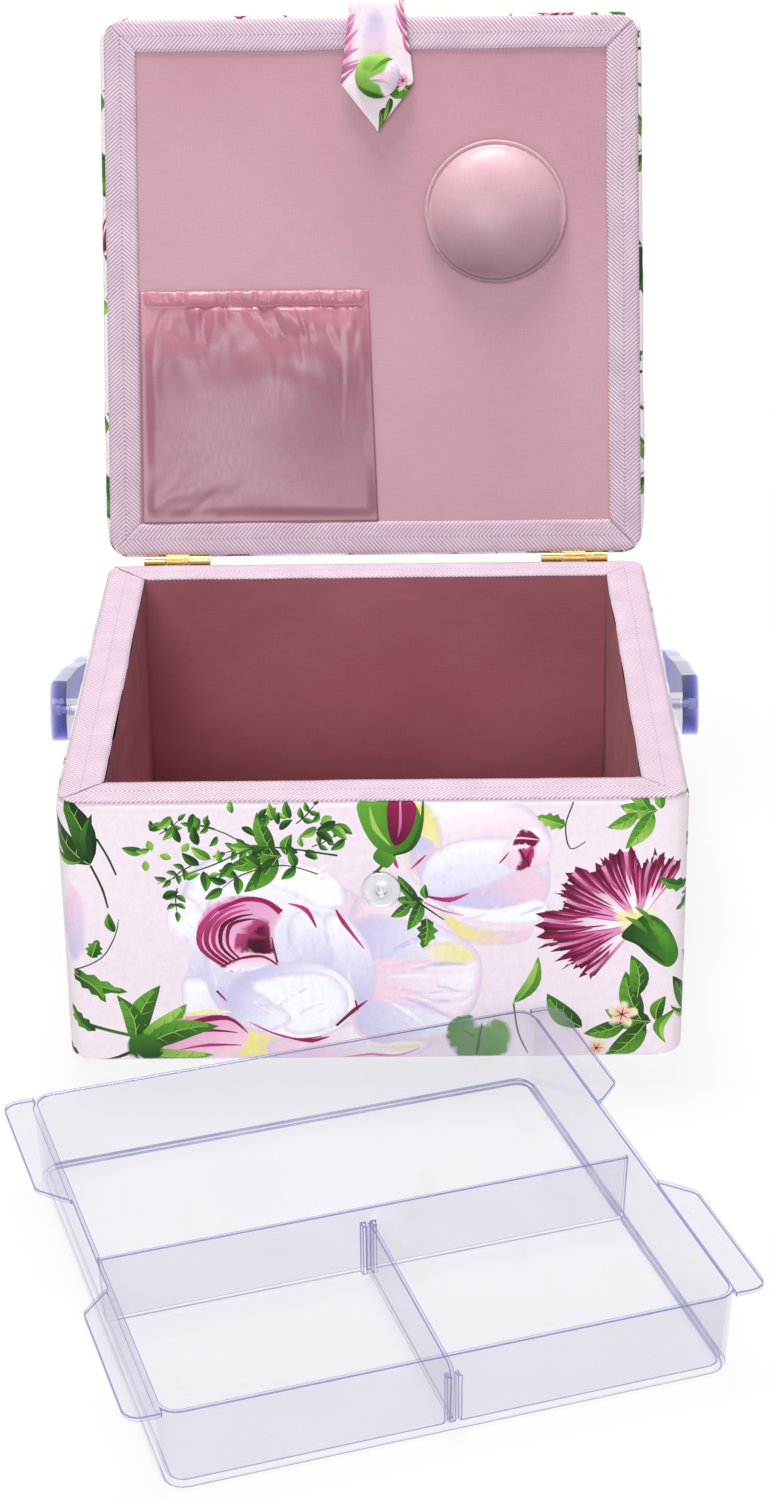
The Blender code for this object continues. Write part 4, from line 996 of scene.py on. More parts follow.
def edge_profile(points):
    """Lookup along a drawn edge: distance in millimetres to (out, up)."""
    line = np.array(points, float)
    travelled = np.concatenate([[0], np.cumsum(np.linalg.norm(np.diff(line, axis=0), axis=1))])

    def at(distance):
        return (float(np.interp(distance, travelled, line[:, 0])),
                float(np.interp(distance, travelled, line[:, 1])))
    return at, travelled[-1]


def arc_points(centre, radius, start, end, steps=8):
    """Points on an arc between two angles in degrees."""
    return [(centre[0] + radius * cos(radians(a)), centre[1] + radius * sin(radians(a)))
            for a in (start + (end - start) * k / steps for k in range(steps + 1))]


# The wall's section, as (out, up): in under the foot, up the wall and in over the rim.
FOOT, TOP_EDGE = 1.35, RIM_Z / MM - 0.75
FOOT_RADIUS, TOP_RADIUS = 3.0, 2.8
WALL = ([(-9, FOOT)] + arc_points((-FOOT_RADIUS, FOOT + FOOT_RADIUS), FOOT_RADIUS, -90, 0)
        + arc_points((-TOP_RADIUS, TOP_EDGE - TOP_RADIUS), TOP_RADIUS, 0, 90) + [(-8, TOP_EDGE)])
wall_at, WALL_LENGTH = edge_profile(WALL)
WALL_START = 9 - FOOT_RADIUS + pi / 2 * FOOT_RADIUS
SNAP = (middle_of(span("snap_socket", 0)), middle_of(span("snap_socket", 2)))
PIVOT_Z = joints["handle_swing"]["pos_m"][2] / MM


def wall_bulge(part, v, side, u):
    """How far the padding pushes the fabric out of the flat wall, in millimetres.

    It is pressed flat round the snap on the front and round the handle's screws at the sides.
    """
    swell, least = 1.9, 0.25
    snap_reach, screw_reach = 12, 9
    height = min(max(v / (RIM_Z / MM), 0.0), 1.0)
    full = swell * sin(pi * height) ** 0.55 * (1 - abs(part) ** 5) + least
    across = part * (HALF - CORNER)
    if side == 0:
        full *= 1 - exp(-(((across - SNAP[0]) ** 2 + (v - SNAP[1]) ** 2) / snap_reach ** 2) ** 2)
    elif side in (1, 3):
        full *= 1 - exp(-(across ** 2 + (v - PIVOT_Z) ** 2) / screw_reach ** 2)
    waves = 0.42 * ripple(u, v * 0.8, 3, 46) + 0.20 * ripple(u, v * 0.5, 8, 17)
    pulls = 0.35 * ripple(u, 0, 5, 7) * (exp(-abs(v - 4) / 7) + exp(-abs(v - 117) / 5))
    return full + (waves + pulls) * min(1.0, full)


def wall_surface(u, v):
    """Cloth point of the box's cover: u round the box, v up the wall."""
    (x, y), (nx, ny), part, side = rounded_path(u)
    out, up = wall_at(v + WALL_START - FOOT - FOOT_RADIUS)
    out += wall_bulge(max(-1, min(1, part)), v, side, u)
    return ((x + nx * out) * MM, (y + ny * out) * MM, up * MM)


def make_box_cover():
    """Printed cotton in one strip round the padded walls, turned in at its foot and rim."""
    half_round = 4 * (HALF - CORNER) + pi * CORNER
    low_v = FOOT + FOOT_RADIUS - WALL_START
    high_v = low_v + WALL_LENGTH
    step = 2.8
    edge = outline_of(-half_round, half_round, low_v, high_v, step)
    inner = cloth_grid(-half_round, half_round, low_v, high_v, step)
    inner += [(u, v) for v in (low_v + 0.8 * k for k in range(7, 14))
              for u in spaced(-half_round, half_round, step)[1:-1]]
    shapes = layout(-half_round, half_round, low_v, high_v)
    cover = printed_cloth("box_cover_fabric", shapes, edge, inner, wall_surface)
    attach(cover, "box")
    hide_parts("box_cover")


CORE = HALF - CORNER
LID_RADIUS = 4.0
SIDE_FOOT = 3.4
LID_EDGE = ([(0, LID_TOP / MM)]
            + arc_points((CORNER - LID_RADIUS, LID_TOP / MM - LID_RADIUS), LID_RADIUS, 90, 0)
            + arc_points((CORNER - 1.8, SIDE_FOOT), 1.8, 0, -90, 5) + [(2.5, SIDE_FOOT - 1.8)])
lid_at, LID_WRAP = edge_profile(LID_EDGE)


def lid_surface(u, v):
    """Cloth point of the lid's cover, in the lid's frame; the cloth is flat on the lid's top."""
    cx, cy = max(-CORE, min(CORE, u)), max(-CORE, min(CORE, v))
    away = hypot(u - cx, v - cy)
    nx, ny = ((u - cx) / away, (v - cy) / away) if away > 1e-6 else (0.0, 0.0)
    out, up = lid_at(away)
    height, swell = 4.2, 1.3  # of the padding over the top and at the sides
    crown = height * (1 - (min(abs(u), HALF) / HALF) ** 4) * (1 - (min(abs(v), HALF) / HALF) ** 4)
    up += crown * step_up(LID_WRAP - away, LID_WRAP - 12, LID_WRAP)
    up += 0.4 * ripple(u, v, 11, 50) * step_up(away, 14, 4)
    side = step_up(away, 8, 14) * step_up(LID_WRAP - away, 3, 8)
    at_back = step_up(v, 105, 118)
    out += side * (swell + 0.35 * ripple(u, v, 6, 16)) * (1 - at_back)
    return ((cx + nx * out) * MM, (cy + ny * out) * MM + LID_Y, up * MM)


def make_lid_cover():
    """Printed cotton over the padded lid, round its corners and down its edges."""
    reach = CORE + LID_WRAP
    step = 2.8
    side = spaced(-CORE, CORE, step)
    edge = [(x, -reach) for x in side]
    edge += [(CORE + LID_WRAP * cos(radians(a)), -CORE + LID_WRAP * sin(radians(a)))
             for a in range(-84, 0, 6)]
    quarter = edge[:]
    for turns in (90, 180, 270):
        edge += [turned(x, y, turns) for x, y in quarter]
    inner = [(x, y) for x in spaced(-CORE, CORE, step) for y in spaced(-CORE, CORE, step)]
    for away in spaced(0, LID_WRAP, 1.3)[1:-1]:
        ring = [(x, -CORE - away) for x in side]
        ring += [(CORE + away * cos(radians(a)), -CORE + away * sin(radians(a)))
                 for a in range(-81, 0, 9)]
        for turns in (0, 90, 180, 270):
            inner += [turned(x, y, turns) for x, y in ring]
    drop = 35.0  # the print's shift towards the lid's front, in millimetres
    shapes = moved(layout(-reach, reach, -reach + drop, reach + drop), 0, -drop)
    cover = printed_cloth("lid_cover_fabric", shapes, edge, inner, lid_surface, LID, (700, 300))
    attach(cover, "lid")
    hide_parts("lid_cover")


# ---------------------------------------------------------------- tapes

def make_tape(name, node, body, inner, face, towards, seed, centre_y=0.0, place=None):
    """Mitred frame of twill tape, from inner out to the cover's edge.

    face is the height of its visible side, and towards is +1 or -1, the way that side looks.
    """
    inset = 0.6  # how far the tape's outer edge stays inside the cover's
    half, radius = HALF - inset, CORNER - inset
    core = half - radius
    tip = core + radius * cos(pi / 4)
    middle = (inner + half) / 2
    points, faces, cloth = [], [], []

    def rim(x):
        return half if abs(x) <= core else core + sqrt(max(radius ** 2 - (abs(x) - core) ** 2, 0))

    for turns in range(4):
        start = len(points)
        columns = spaced(-tip, tip, 2.0)
        rows = spaced(0, 1, 1 / 8)
        for x in columns:
            low, high = max(inner, abs(x)), rim(x)
            for w in rows:
                y = low + (high - low) * w
                edge = ripple(x, turns * 40, seed, 30) * 0.35 * (1 - w) * step_up(tip - abs(x), 4, 14)
                lift = 0.16 * ripple(x, y + turns * 90, seed + 4, 22)
                lift -= 0.55 * step_up(w, 0.8, 1.0) + 0.35 * step_up(0.14 - w, 0.0, 0.14)
                # at each mitre one end of the tape laps over the other
                over = step_up(abs(x) - y, -3.0, 0.0) * (0.35 if x > 0 else 0.0)
                px, py = turned(x, -(y + edge), 90 * turns)
                z = face + towards * (lift + over) * MM
                points.append((px * MM, py * MM + centre_y, z))
                cloth.append((x * MM, (y - middle) * MM, 0))
        count = len(rows)
        for c in range(len(columns) - 1):
            for r in range(count - 1):
                a = start + c * count + r
                loop = (a, a + 1, a + count + 1, a + count)
                faces.append(loop if towards > 0 else loop[::-1])
    tape = add_mesh(name, points, faces, TWILL, place)
    put_cloth(tape, cloth)
    thick = tape.modifiers.new("thickness", "SOLIDIFY")
    thick.thickness, thick.offset = TAPE_THICK, -1
    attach(tape, body)
    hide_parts(node)


# ---------------------------------------------------------------- linings

def make_linings():
    """Satin walls and floor of the box: flat on their card, a little slack towards the corners."""
    half = OPENING / MM
    under_tape = 0.9  # how far the walls' satin ends below the rim
    low, high = FLOOR_TOP / MM, RIM_Z / MM - under_tape
    for name, turns in (("lining_front", 0), ("lining_right", 1), ("lining_back", 2),
                        ("lining_left", 3)):
        def wall(a, z, turns=turns):
            u, h = a / MM, z / MM
            slack = 0.55 * ripple(u + turns * 300, h, 21, 38) + 0.25 * ripple(u, h * 3, turns + 2, 15)
            inside = 0.5 + slack * step_up(half - abs(u), 0, 12) * step_up(h - low, 0, 8)
            inside += 1.2 * (1 - step_up(h - low, 0, 2.5))
            x, y = turned(u, -(half - inside), 90 * turns)
            return (x * MM, y * MM, z)
        across = [a * MM for a in spaced(half, -half, 2.4)]
        cloth = grid_cloth(name + "_satin", across, [z * MM for z in spaced(low, high, 2.4)], wall, INSIDE_SHADED)
        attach(cloth, "box")
        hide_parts(name)

    def floor(x, y):
        edge = min(half - abs(x / MM), half - abs(y / MM))
        z = low + 0.35 * ripple(x / MM, y / MM, 31, 40) * step_up(edge, 0, 15)
        z += 0.9 * step_up(edge, 4.0, 0.5)
        return (x, y, z * MM)
    across = [a * MM for a in spaced(-half, half, 2.6)]
    cloth = grid_cloth("lining_floor_satin", across, across, floor, INSIDE_SHADED)
    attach(cloth, "box")
    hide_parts("lining_floor")


def make_lid_lining():
    """Satin panel inside the lid, nearly flat."""
    half = lid_span("lid_lining", 0)[1]

    def panel(x, y):
        lift = 0.35 * ripple(x / MM, y / MM, 41, 44) + 0.12 * ripple(x / MM, y / MM, 43, 14)
        return (x, LID_Y - y, LID_FACE - (0.15 + lift * 0.5) * MM)
    across = spaced(-half, half, 2.6 * MM)
    cloth = grid_cloth("lid_lining_satin", across, across, panel, LINING, LID)
    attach(cloth, "lid")
    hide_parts("lid_lining")


# ---------------------------------------------------------------- pocket and pincushion

def make_pocket():
    """Satin pocket, gathered by elastic in a stitched casing along its mouth."""
    past_left, past_foot = 3.4, 4.0  # how far it goes past the CAD pocket, up to the lid's tape
    left, mouth = lid_span("pocket", 0)[0] / MM - past_left, -lid_span("pocket", 1)[0] / MM
    right, bottom = lid_span("pocket", 0)[1] / MM, -lid_span("pocket", 1)[1] / MM - past_foot
    casing = 6.4  # height of the elastic's casing

    def cloth_height(x, s):
        """How far the cloth stands off the lining, in millimetres."""
        across = (x - left) / (right - left)
        down = (mouth - s) / (mouth - bottom)
        sewn_sides = step_up(across, 0.015, 0.06) * step_up(1 - across, 0, 0.04)
        if s > mouth - casing:
            part = (mouth - s) / casing
            ruffle = ripple(x, s * 0.25, 51, 3.6 + 0.9 * sin(x * 0.11), 2) + 0.6 * ripple(x, s, 50, 9)
            round_over = sin(pi * min(max(part, 0.03), 1.0)) ** 0.5
            return 0.9 + sewn_sides * ((1.6 + 1.7 * ruffle) * round_over + 0.3)
        below = mouth - casing - s
        open_up = step_up(below, 0, 3.0)
        lean = x + 0.9 * below * ripple(x, below * 0.3, 57, 34)
        gathers = 1.6 * ripple(lean, s * 0.08, 52, 4.2, 2) * exp(-below / 6)
        gathers += 3.6 * ripple(lean, s * 0.30, 53, 9.0, 2) * exp(-below / 13)
        gathers += 3.0 * ripple(x * 0.8 + s * 0.30, s * 0.9, 59, 24.0, 2) * exp(-(below / 34) ** 2)
        drags = 1.3 * ripple(x * 0.7 + s * 0.35, s * 1.1, 54, 34, 1) * step_up(down, 0.2, 0.6)
        tucks = 1.3 * ripple(x * 0.8 - s * 0.8, s * 0.6, 60, 12, 2)
        tucks *= exp(-((x - left - 24) / 22) ** 2 - ((s - bottom - 12) / 14) ** 2)
        swell = sin(pi * min(max(across, 0.0), 1.0)) ** 0.8
        belly = 0.3 + 3.2 * swell * sin(pi * min(1, 0.2 + down * 0.8)) ** 0.9
        foot = step_up(1 - down, 0.015, 0.07)
        return 0.8 + sewn_sides * foot * open_up * max(0.1, belly + gathers + drags + tucks)

    def shape(a, b):
        x, s = a / MM, b / MM
        edge = 0.45 * ripple(x, 0, 58, 3.4, 2) * step_up(s, mouth - casing, mouth)
        flare = step_up(x, right - 14, right) * 3.6 * (1 - (s - bottom) / (mouth - bottom))
        height = max(0.5, cloth_height(x, s))
        return ((x + flare) * MM, -(s + edge) * MM, LID_FACE - height * MM)

    across = [a * MM for a in spaced(left, right, 0.8)]
    along = [b * MM for b in spaced(mouth, mouth - casing, 0.8)]
    along += [b * MM for b in spaced(mouth - casing, bottom, 1.0)[1:]]
    cloth = grid_cloth("pocket_satin", across, along, shape, POCKET, LID)
    thick = cloth.modifiers.new("thickness", "SOLIDIFY")
    thick.thickness, thick.offset = SATIN_THICK, -1
    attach(cloth, "lid")
    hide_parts("pocket")
    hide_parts("pocket_elastic")

    for name, s in (("pocket_stitch_casing", mouth - casing), ("pocket_stitch_mouth", mouth - 1.0)):
        make_stitches(name, [(x, s) for x in spaced(left + 4, right - 1.5, 0.5)], cloth_height)
    side = [(right - 1.6 + 3.2 * (1 - (s - bottom) / (mouth - bottom)), s)
            for s in spaced(mouth, bottom + 1, 0.5)]
    make_stitches("pocket_stitch_side", side, cloth_height)


def make_stitches(name, line, height):
    """Row of short raised threads that follows a cloth, in the lid's frame."""
    wide = 0.16  # half a thread, in millimetres
    points, faces = [], []
    long, every = 3, 5  # steps of the line in one stitch, and from one stitch to the next
    for start in range(0, len(line) - long, every):
        run = line[start:start + long + 1]
        ring = []
        for index, (x, s) in enumerate(run):
            t = index / long
            lift = max(0.5, height(min(x, line[-1][0]), s)) + 0.05 + 0.18 * sin(pi * t)
            before, after = run[max(index - 1, 0)], run[min(index + 1, long)]
            dx, ds = after[0] - before[0], after[1] - before[1]
            length = hypot(dx, ds) or 1
            ring.append(((x - ds / length * wide, s + dx / length * wide, lift - 0.1),
                         (x, s, lift + 0.08),
                         (x + ds / length * wide, s - dx / length * wide, lift - 0.1)))
        base = len(points)
        for trio in ring:
            points += [(x * MM, -s * MM, LID_FACE - h * MM) for x, s, h in trio]
        for index in range(long):
            for k in range(3):
                a, b = base + index * 3 + k, base + index * 3 + (k + 1) % 3
                faces.append((a, b, b + 3, a + 3))
        faces.append((base, base + 2, base + 1))
        faces.append((base + long * 3, base + long * 3 + 1, base + long * 3 + 2))
    thread = add_mesh(name, points, faces, SHINY, LID)
    put_cloth(thread, [(p[0], p[1], 0) for p in points])
    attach(thread, "lid")


def make_pincushion():
    """Domed cushion wrapped over its disc, with a seam round its shoulder."""
    radius = half_of(lid_span("pincushion", 0))
    centre = [sum(lid_span("pincushion", axis)) / 2 for axis in (0, 1)]
    front, back = lid_span("pincushion", 2)
    tall = (back - front) / MM
    profile = [(radius - 2.0, 0), (radius - 0.5, 0.4), (radius - 0.05, 1.3), (radius - 0.1, 2.3),
               (radius - 0.5, 3.1), (radius - 1.0, 3.3), (radius - 1.5, 3.1), (radius - 1.9, 2.4),
               (radius - 2.1, 2.3)]
    dome = radius - 2.2
    for index in range(1, 19):
        r = dome * (1 - index / 18)
        profile.append((r, 2.6 + (tall - 2.6) * (1 - (r / dome) ** 2.1) ** 0.75))
    steps = 144
    points, faces, cloth = [], [], []
    for r, h in profile[:-1]:
        for k in range(steps):
            a = 2 * pi * k / steps
            near_edge = exp(-((radius - 3.5 - r) / 5) ** 2)
            pucker = 0.28 * ripple(a * 12, 0, 61, 1.0, 2) * near_edge
            soft = 0.30 * ripple(r * cos(a), r * sin(a), 62, 17) * step_up(radius - r, 2, 9)
            points.append((centre[0] + r * cos(a) * MM, centre[1] + r * sin(a) * MM,
                           back - (h + pucker + soft) * MM))
            cloth.append((r * cos(a) * MM, r * sin(a) * MM, 0))
    points.append((centre[0], centre[1], back - (profile[-1][1] + 0.3 * ripple(0, 0, 62, 17)) * MM))
    cloth.append((0, 0, 0))
    for ring in range(len(profile) - 2):
        for k in range(steps):
            a, b = ring * steps + k, ring * steps + (k + 1) % steps
            faces.append((a, a + steps, b + steps, b))
    last = (len(profile) - 2) * steps
    faces += [(last + k, len(points) - 1, last + (k + 1) % steps) for k in range(steps)]
    faces.append(tuple(range(steps)))
    cushion = add_mesh("pincushion_satin", points, faces, SHINY, LID)
    put_cloth(cushion, cloth)
    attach(cushion, "lid")
    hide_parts("pincushion")
    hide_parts("pincushion_base")


# ---------------------------------------------------------------- tab

def tab_path():
    """The strap's middle line in the lid's frame: (front edge distance s, height z)."""
    pivot = LID.inverted() @ TAB_PIVOT
    tip = span_in(TAB, "tab_strap", 2)[0] / MM
    layer = middle_of(span_in(TAB, "tab_strap", 1))
    out = -pivot[1] / MM
    hang = pivot[2] / MM + layer
    top = LID_TOP / MM + 2.6
    bend = 9.5  # radius over the lid's front edge
    foot = 5  # radius where the strap turns in to its pivot
    level = 0.9  # height where that turn starts
    outer = -lid_span("tab_root", 1)[0] / MM - 1.0
    line = [(outer - bend - 14, top + 1.2), (outer - bend, top)]
    line += [(outer - bend + bend * sin(radians(a)), top - bend + bend * cos(radians(a)))
             for a in range(15, 91, 15)]
    line += [(outer, level)]
    line += [(outer - foot + foot * cos(radians(a)), level - (level - hang) * sin(radians(a)))
             for a in range(15, 91, 15)]
    line += [(out + tip + 12, hang), (out + tip, hang)]
    return line, hang


def make_tab():
    """Strap of the printed cotton, folded double, that bends over the lid's front edge."""
    line, hang = tab_path()
    at, length = edge_profile(line)
    centre_x = middle_of(span("tab_strap", 0))
    wide, root = half_of(span("tab_strap", 0)), half_of(span("tab_root", 0))
    point_start = length - 21.8  # where the pointed end starts

    def half_width(v):
        if v > point_start:
            return max(0.5, wide * (length - v) / (length - point_start))
        return root + (wide - root) * step_up(v, length - 60, point_start + 6) ** 0.8

    def surface(u, v):
        v = min(max(v, 0.0), length)
        s, z = at(v)
        s0, z0 = at(max(v - 0.5, 0))
        s1, z1 = at(min(v + 0.5, length))
        ds, dz = s1 - s0, z1 - z0
        norm = hypot(ds, dz) or 1
        out_s, out_z = -dz / norm, ds / norm
        w = half_width(v)
        q = u / wide
        thick = 0.95 + 0.12 * ripple(u, v, 71, 9)
        if abs(q) <= 1:
            x = q * w
            side = thick * (1 - abs(q) ** 10)
        else:
            x = (2 - abs(q)) * w * (1 if q > 0 else -1)
            side = -thick * (1 - (2 - abs(q)) ** 10)
        side += 0.3 * ripple(x, v, 72, 14)
        return ((centre_x + x) * MM, -(s + out_s * side) * MM, (z + out_z * side) * MM)

    shapes = patch([(-9, 70), (-2, 74), (6, 70), (6, 52), (-2, 46), (-8, 54)], BLUSH, LAVENDER,
                   ((0, 72), (0, 48)), 4)
    marks = patch([(-24, 44), (-14, 46), (-12, 60), (-14, 76), (-24, 78)], PINK, BLUSH, None, 2)
    marks += patch([(14, 36), (20, 36), (20, 62), (14, 58)], PEACH, BLUSH, None, 1.5)
    rng = random.Random(7)
    for index in range(9):
        v = 52 + index * 3.4 + rng.uniform(-1.4, 1.4)
        reach = rng.uniform(3, 10) * (1.3 if index > 4 else 0.8)
        marks += stroke([(-21, v + rng.uniform(2, 6)), (-16, v), (-16 + reach, v - rng.uniform(2, 8))],
                        1.8, 0.2, WINE if index % 3 else MAGENTA, PINK, rng.uniform(1.4, 3.6))
    for index in range(7):
        v = 36 + index * 4.6 + rng.uniform(-1.6, 1.6)
        marks += stroke([(20, v + 5), (15.5, v + 1), (15.5 - rng.uniform(1, 5), v - rng.uniform(3, 8))],
                        1.4, 0.3, WINE if index % 2 else MAGENTA, PINK, rng.uniform(1.2, 2.8))
    marks += moved(leaf(20, 10, 1), 2, 94, 22)
    marks += moved(leaf(18, 9, -1), 6, 84, 8)
    marks += moved(leaf(14, 6, 1, (DARK_LEAF, LEAF, PALE_LEAF)), 8, 88, 50)
    marks += moved(blossom(PINK), 12, 80, 0, 0.6)
    edge = outline_of(-2 * wide, 2 * wide, 0, length, 1.4)
    inner = cloth_grid(-2 * wide, 2 * wide, 0, length, 1.4)
    inner += [(side * wide * (1 + part), v) for side in (-1, 1) for part in (-0.04, -0.015, 0.015, 0.04)
              for v in spaced(0, length, 1.4)[1:-1]]
    shift = length - 103  # the marks are drawn for a strap 103 mm long
    tab = printed_cloth("tab_fabric", moved(shapes + marks, 0, shift), edge, inner,
                        surface, LID, (2000, 100))
    for node in ("tab_root", "tab_strap"):
        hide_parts(node)
    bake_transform(tab)


def make_button():
    """Button covered in a scrap of the print, gathered under its edge."""
    centre = [middle_of(span_in(TAB, "tab_button", axis)) for axis in (0, 2)]
    radius = half_of(span_in(TAB, "tab_button", 0))
    front, seat = (end / MM for end in span_in(TAB, "tab_button", 1))
    tall = seat - front
    line = [(0, tall + 0.4)]
    line += [(radius * 0.86 * sin(radians(a)), tall - 2.0 + 2.4 * cos(radians(a)))
             for a in range(12, 73, 10)]
    line += [(radius, 2.4), (radius + 0.1, 1.6), (radius - 0.5, 0.7), (radius - 2.0, 0.2)]
    at, reach = edge_profile(line)

    def surface(u, v):
        d = hypot(u, v)
        r, h = at(d)
        angle = atan2(v, u)
        r += 0.10 * ripple(angle * 9, 0, 81, 1.0, 2) * step_up(d, radius * 0.8, reach)
        x, z = (r * u / d, r * v / d) if d > 1e-6 else (0.0, 0.0)
        return ((centre[0] + x) * MM, (seat - h) * MM, (centre[1] + z) * MM)

    shapes = patch([(-14, 2), (-8, 12), (2, 14), (8, 10), (4, 2), (2, -6), (6, -14), (-6, -14)],
                   PALE_LEAF, FRESH, ((-6, 10), (-2, -12)), 1.0)
    shapes += patch([(-7, 8), (0, 11), (4, 8), (0, 2), (-7, 2)], PALE_LEAF, FRESH, ((2, 10), (-6, 2)), 2)
    shapes += stroke([(9, 9), (3, 6), (-3, 1)], 1.0, 0.3, LEAF, FRESH, 2.4)
    shapes += patch([(-4, -2), (4, 2), (14, 4), (14, -6), (8, -9), (2, -6)], BLUSH, LAVENDER,
                    ((2, 0), (12, -4)), 1.2)
    shapes += stroke([(-6, -3), (2, -3), (9, -6)], 0.4, 0.3, FRESH, BLUSH, 1.6)
    shapes += patch([(-13, -3), (-6, -6), (4, -10), (6, -14), (-8, -14)], LEAF, DARK_LEAF,
                    ((-4, -5), (0, -13)), 1.0)
    edge = [(reach * cos(radians(a)), reach * sin(radians(a))) for a in range(0, 360, 5)]
    inner = [(d * cos(radians(a)), d * sin(radians(a)))
             for d in spaced(0, reach, 0.8)[1:-1] for a in range(0, 360, 8)] + [(0, 0)]
    button = printed_cloth("tab_button_fabric", shapes, edge, inner, surface, TAB, (2500, 60))
    for polygon in button.data.polygons:
        if polygon.normal.y > 0.9:
            polygon.flip()
    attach(button, "tab")
    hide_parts("tab_button")


# ---------------------------------------------------------------- metal and plastic

def turned_piece(name, profile, place, material):
    """Solid of revolution about z from (radius, height) points in millimetres."""
    steps = 64
    points, faces = [], []
    for r, h in profile:
        for k in range(steps):
            a = 2 * pi * k / steps
            points.append((r * cos(a) * MM, r * sin(a) * MM, h * MM))
    rings = len(profile)
    for ring in range(rings - 1):
        for k in range(steps):
            a, b = ring * steps + k, ring * steps + (k + 1) % steps
            faces.append((a, b, b + steps, a + steps))
    faces.append(tuple(range(steps))[::-1])
    faces.append(tuple(range((rings - 1) * steps, rings * steps)))
    made = add_mesh(name, points, faces, material, place)
    made.data.set_sharp_from_angle(angle=radians(35))
    return made


def make_snap():
    """Outer half of the magnetic snap: a rolled rim, a flat face and a round socket."""
    r = half_of(span("snap_socket", 0))
    face = span("snap_socket", 1)[0]
    place = (Matrix.Translation((SNAP[0] * MM, face, SNAP[1] * MM)) @ Matrix.Rotation(radians(90), 4, "X"))
    profile = [(1.6, -4.5), (1.6, -1.7), (r - 0.4, -1.7), (r, -1.4), (r, -0.5), (r - 0.15, -0.18),
               (r - 0.45, 0.0), (r - 0.75, -0.02), (r - 1.0, -0.22), (r - 1.3, -0.26), (3.15, -0.16),
               (2.95, -0.02), (2.6, 0.04), (2.4, -0.1), (2.3, -0.6), (2.2, -1.3), (1.2, -1.35),
               (0.9, -1.1), (0.2, -1.1)]
    snap = turned_piece("snap_socket_plated", profile, place, CHROME)
    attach(snap, "box")
    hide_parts("snap_socket")


def soften(node, width, segments=3, edge=None):
    """Rounds a moulded node's edges a little; edge is the material of the rounded strips.

    Its points are welded and its flat areas merged first, so that only real edges are rounded.
    """
    node = frame["nodes"][node]
    weld = node.modifiers.new("weld", "WELD")
    weld.merge_threshold = 0.01 * MM
    flat = node.modifiers.new("flat", "DECIMATE")
    flat.decimate_type, flat.angle_limit = "DISSOLVE", radians(2)
    bevel = node.modifiers.new("edges", "BEVEL")
    bevel.width, bevel.segments, bevel.limit_method = width, segments, "ANGLE"
    bevel.angle_limit = radians(28)
    bevel.use_clamp_overlap = False
    if edge is not None:
        node.data.materials.append(edge)
        bevel.material = 1


def dress_frame():
    """Materials of the CAD nodes that stay in sight or sealed inside."""
    plain = satin("plain_cotton", srgb(226, 214, 226), srgb(219, 206, 220), 0.8)
    finish = {"tray": CLEAR, "tray_divider": CLEAR, "handle": BAR, "snap_stud": CHROME,
              "snap_backplate": CHROME, "underside_panel": plain, "pocket_elastic": WHITE,
              "pincushion_base": BOARD}
    for name, node in frame["nodes"].items():
        if name.startswith("hinge"):
            chosen = BRASS
        elif "board" in name and name != "underside_panel":
            chosen = BOARD
        elif name.startswith("handle_screw"):
            chosen = WHITE
        elif name.startswith("handle_spacer"):
            chosen = BAR
        elif name.startswith("handle_nut"):
            chosen = CHROME
        else:
            chosen = finish.get(name)
        if chosen is not None:
            node.data.materials.clear()
            node.data.materials.append(chosen)
    for name in ("tray", "tray_divider"):
        # the rounded strips of the tray and divider get the edge material, which is painted shade along
        # their edges
        soften(name, 0.42 * MM, 2, EDGE_SHADE)
    soften("handle", 0.9 * MM)


# ---------------------------------------------------------------- studio

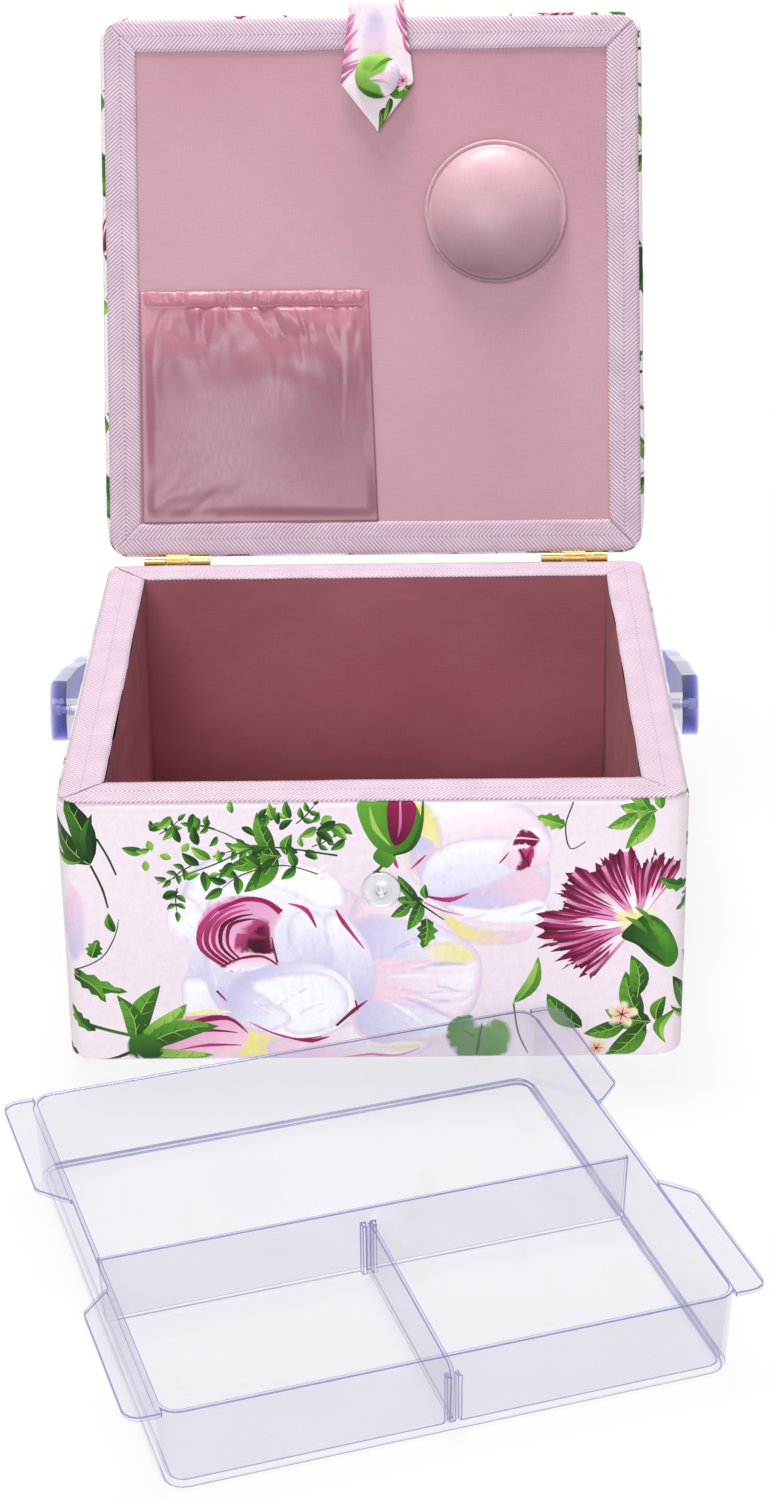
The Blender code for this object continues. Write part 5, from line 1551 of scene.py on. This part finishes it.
def make_studio():
    """Pale floor that brightens away from the object, a dim world and three soft lamps."""
    low, high = cad_box
    centre = (low + high) / 2
    reach = 6.0  # half the floor, in metres
    glow = Shader("light_table", Base_Color=(0.12, 0.12, 0.12, 1), Roughness=0.7, Specular_IOR_Level=0.0)
    away = glow.node("VectorMath", {0: glow.position()}, operation="LENGTH")
    glow.set(Emission_Color=(1, 1, 1, 1))
    glow.set(Emission_Strength=glow.ramp(away.outputs["Value"], 0.5, 2.4, 0.84, 0.97))
    floor = add_mesh("floor", [(-reach, -reach, 0), (reach, -reach, 0), (reach, reach, 0),
                               (-reach, reach, 0)], [(0, 1, 2, 3)], glow.material)
    floor.location = (centre.x, centre.y, 0)
    world = bpy.data.worlds.new("studio")
    bpy.context.scene.world = world
    world.use_nodes = True
    background = world.node_tree.nodes["Background"]
    background.inputs["Color"].default_value = (1.0, 1.0, 1.0, 1)
    background.inputs["Strength"].default_value = 0.28
    target = Vector((0, -0.05, 0.12))
    # name, place and size in metres, watts
    lamps = (("key", (-0.15, 0.6, 2.4), 0.9, 60), ("front", (-0.4, -2.2, 1.2), 1.0, 22),
             ("low_front", (0.1, -0.98, 0.36), 0.5, 1.8))
    for name, spot, size, watts in lamps:
        lamp = bpy.data.lights.new(name, "AREA")
        lamp.shape, lamp.size, lamp.energy = "DISK", size, watts
        made = bpy.data.objects.new(name, lamp)
        bpy.context.scene.collection.objects.link(made)
        made.location = spot
        aim = target - Vector(spot)
        made.rotation_euler = aim.to_track_quat("-Z", "Y").to_euler()
    bpy.context.scene.view_settings.view_transform = "Standard"


def make_camera():
    """Seen from in front and above, a little to the right of the middle.

    Its place and lens come from fitting the box's edges to the photograph's perspective.
    """
    place = Vector((14.5, -1169.0, 637.4)) * MM
    pitch, yaw, roll = radians(25.42), radians(0.46), radians(-0.76)
    right = Vector((cos(yaw), sin(yaw), 0))
    ahead = Vector((-sin(yaw) * cos(pitch), cos(yaw) * cos(pitch), -sin(pitch)))
    up = right.cross(ahead)
    side = right * cos(roll) + up * sin(roll)
    top = up * cos(roll) - right * sin(roll)
    camera = bpy.data.cameras.new("camera")
    camera.lens, camera.sensor_width = 71.3, 36.0
    camera.clip_start, camera.clip_end = 0.05, 50
    made = bpy.data.objects.new("camera", camera)
    bpy.context.scene.collection.objects.link(made)
    turn = Matrix((side, top, -ahead)).transposed()
    made.matrix_world = Matrix.Translation(place) @ turn.to_4x4()
    bpy.context.scene.camera = made


make_camera()
make_studio()
make_box_cover()
make_lid_cover()
make_tape("rim_tape_twill", "rim_tape", "box", RIM_TAPE_INNER, RIM_Z - 0.05 * MM, 1, 2)
make_tape("lid_tape_twill", "lid_tape", "lid", LID_TAPE_INNER, LID_TAPE_FACE, -1, 9, LID_Y, LID)
make_linings()
make_lid_lining()
make_pocket()
make_pincushion()
make_tab()
make_button()
make_snap()
dress_frame()
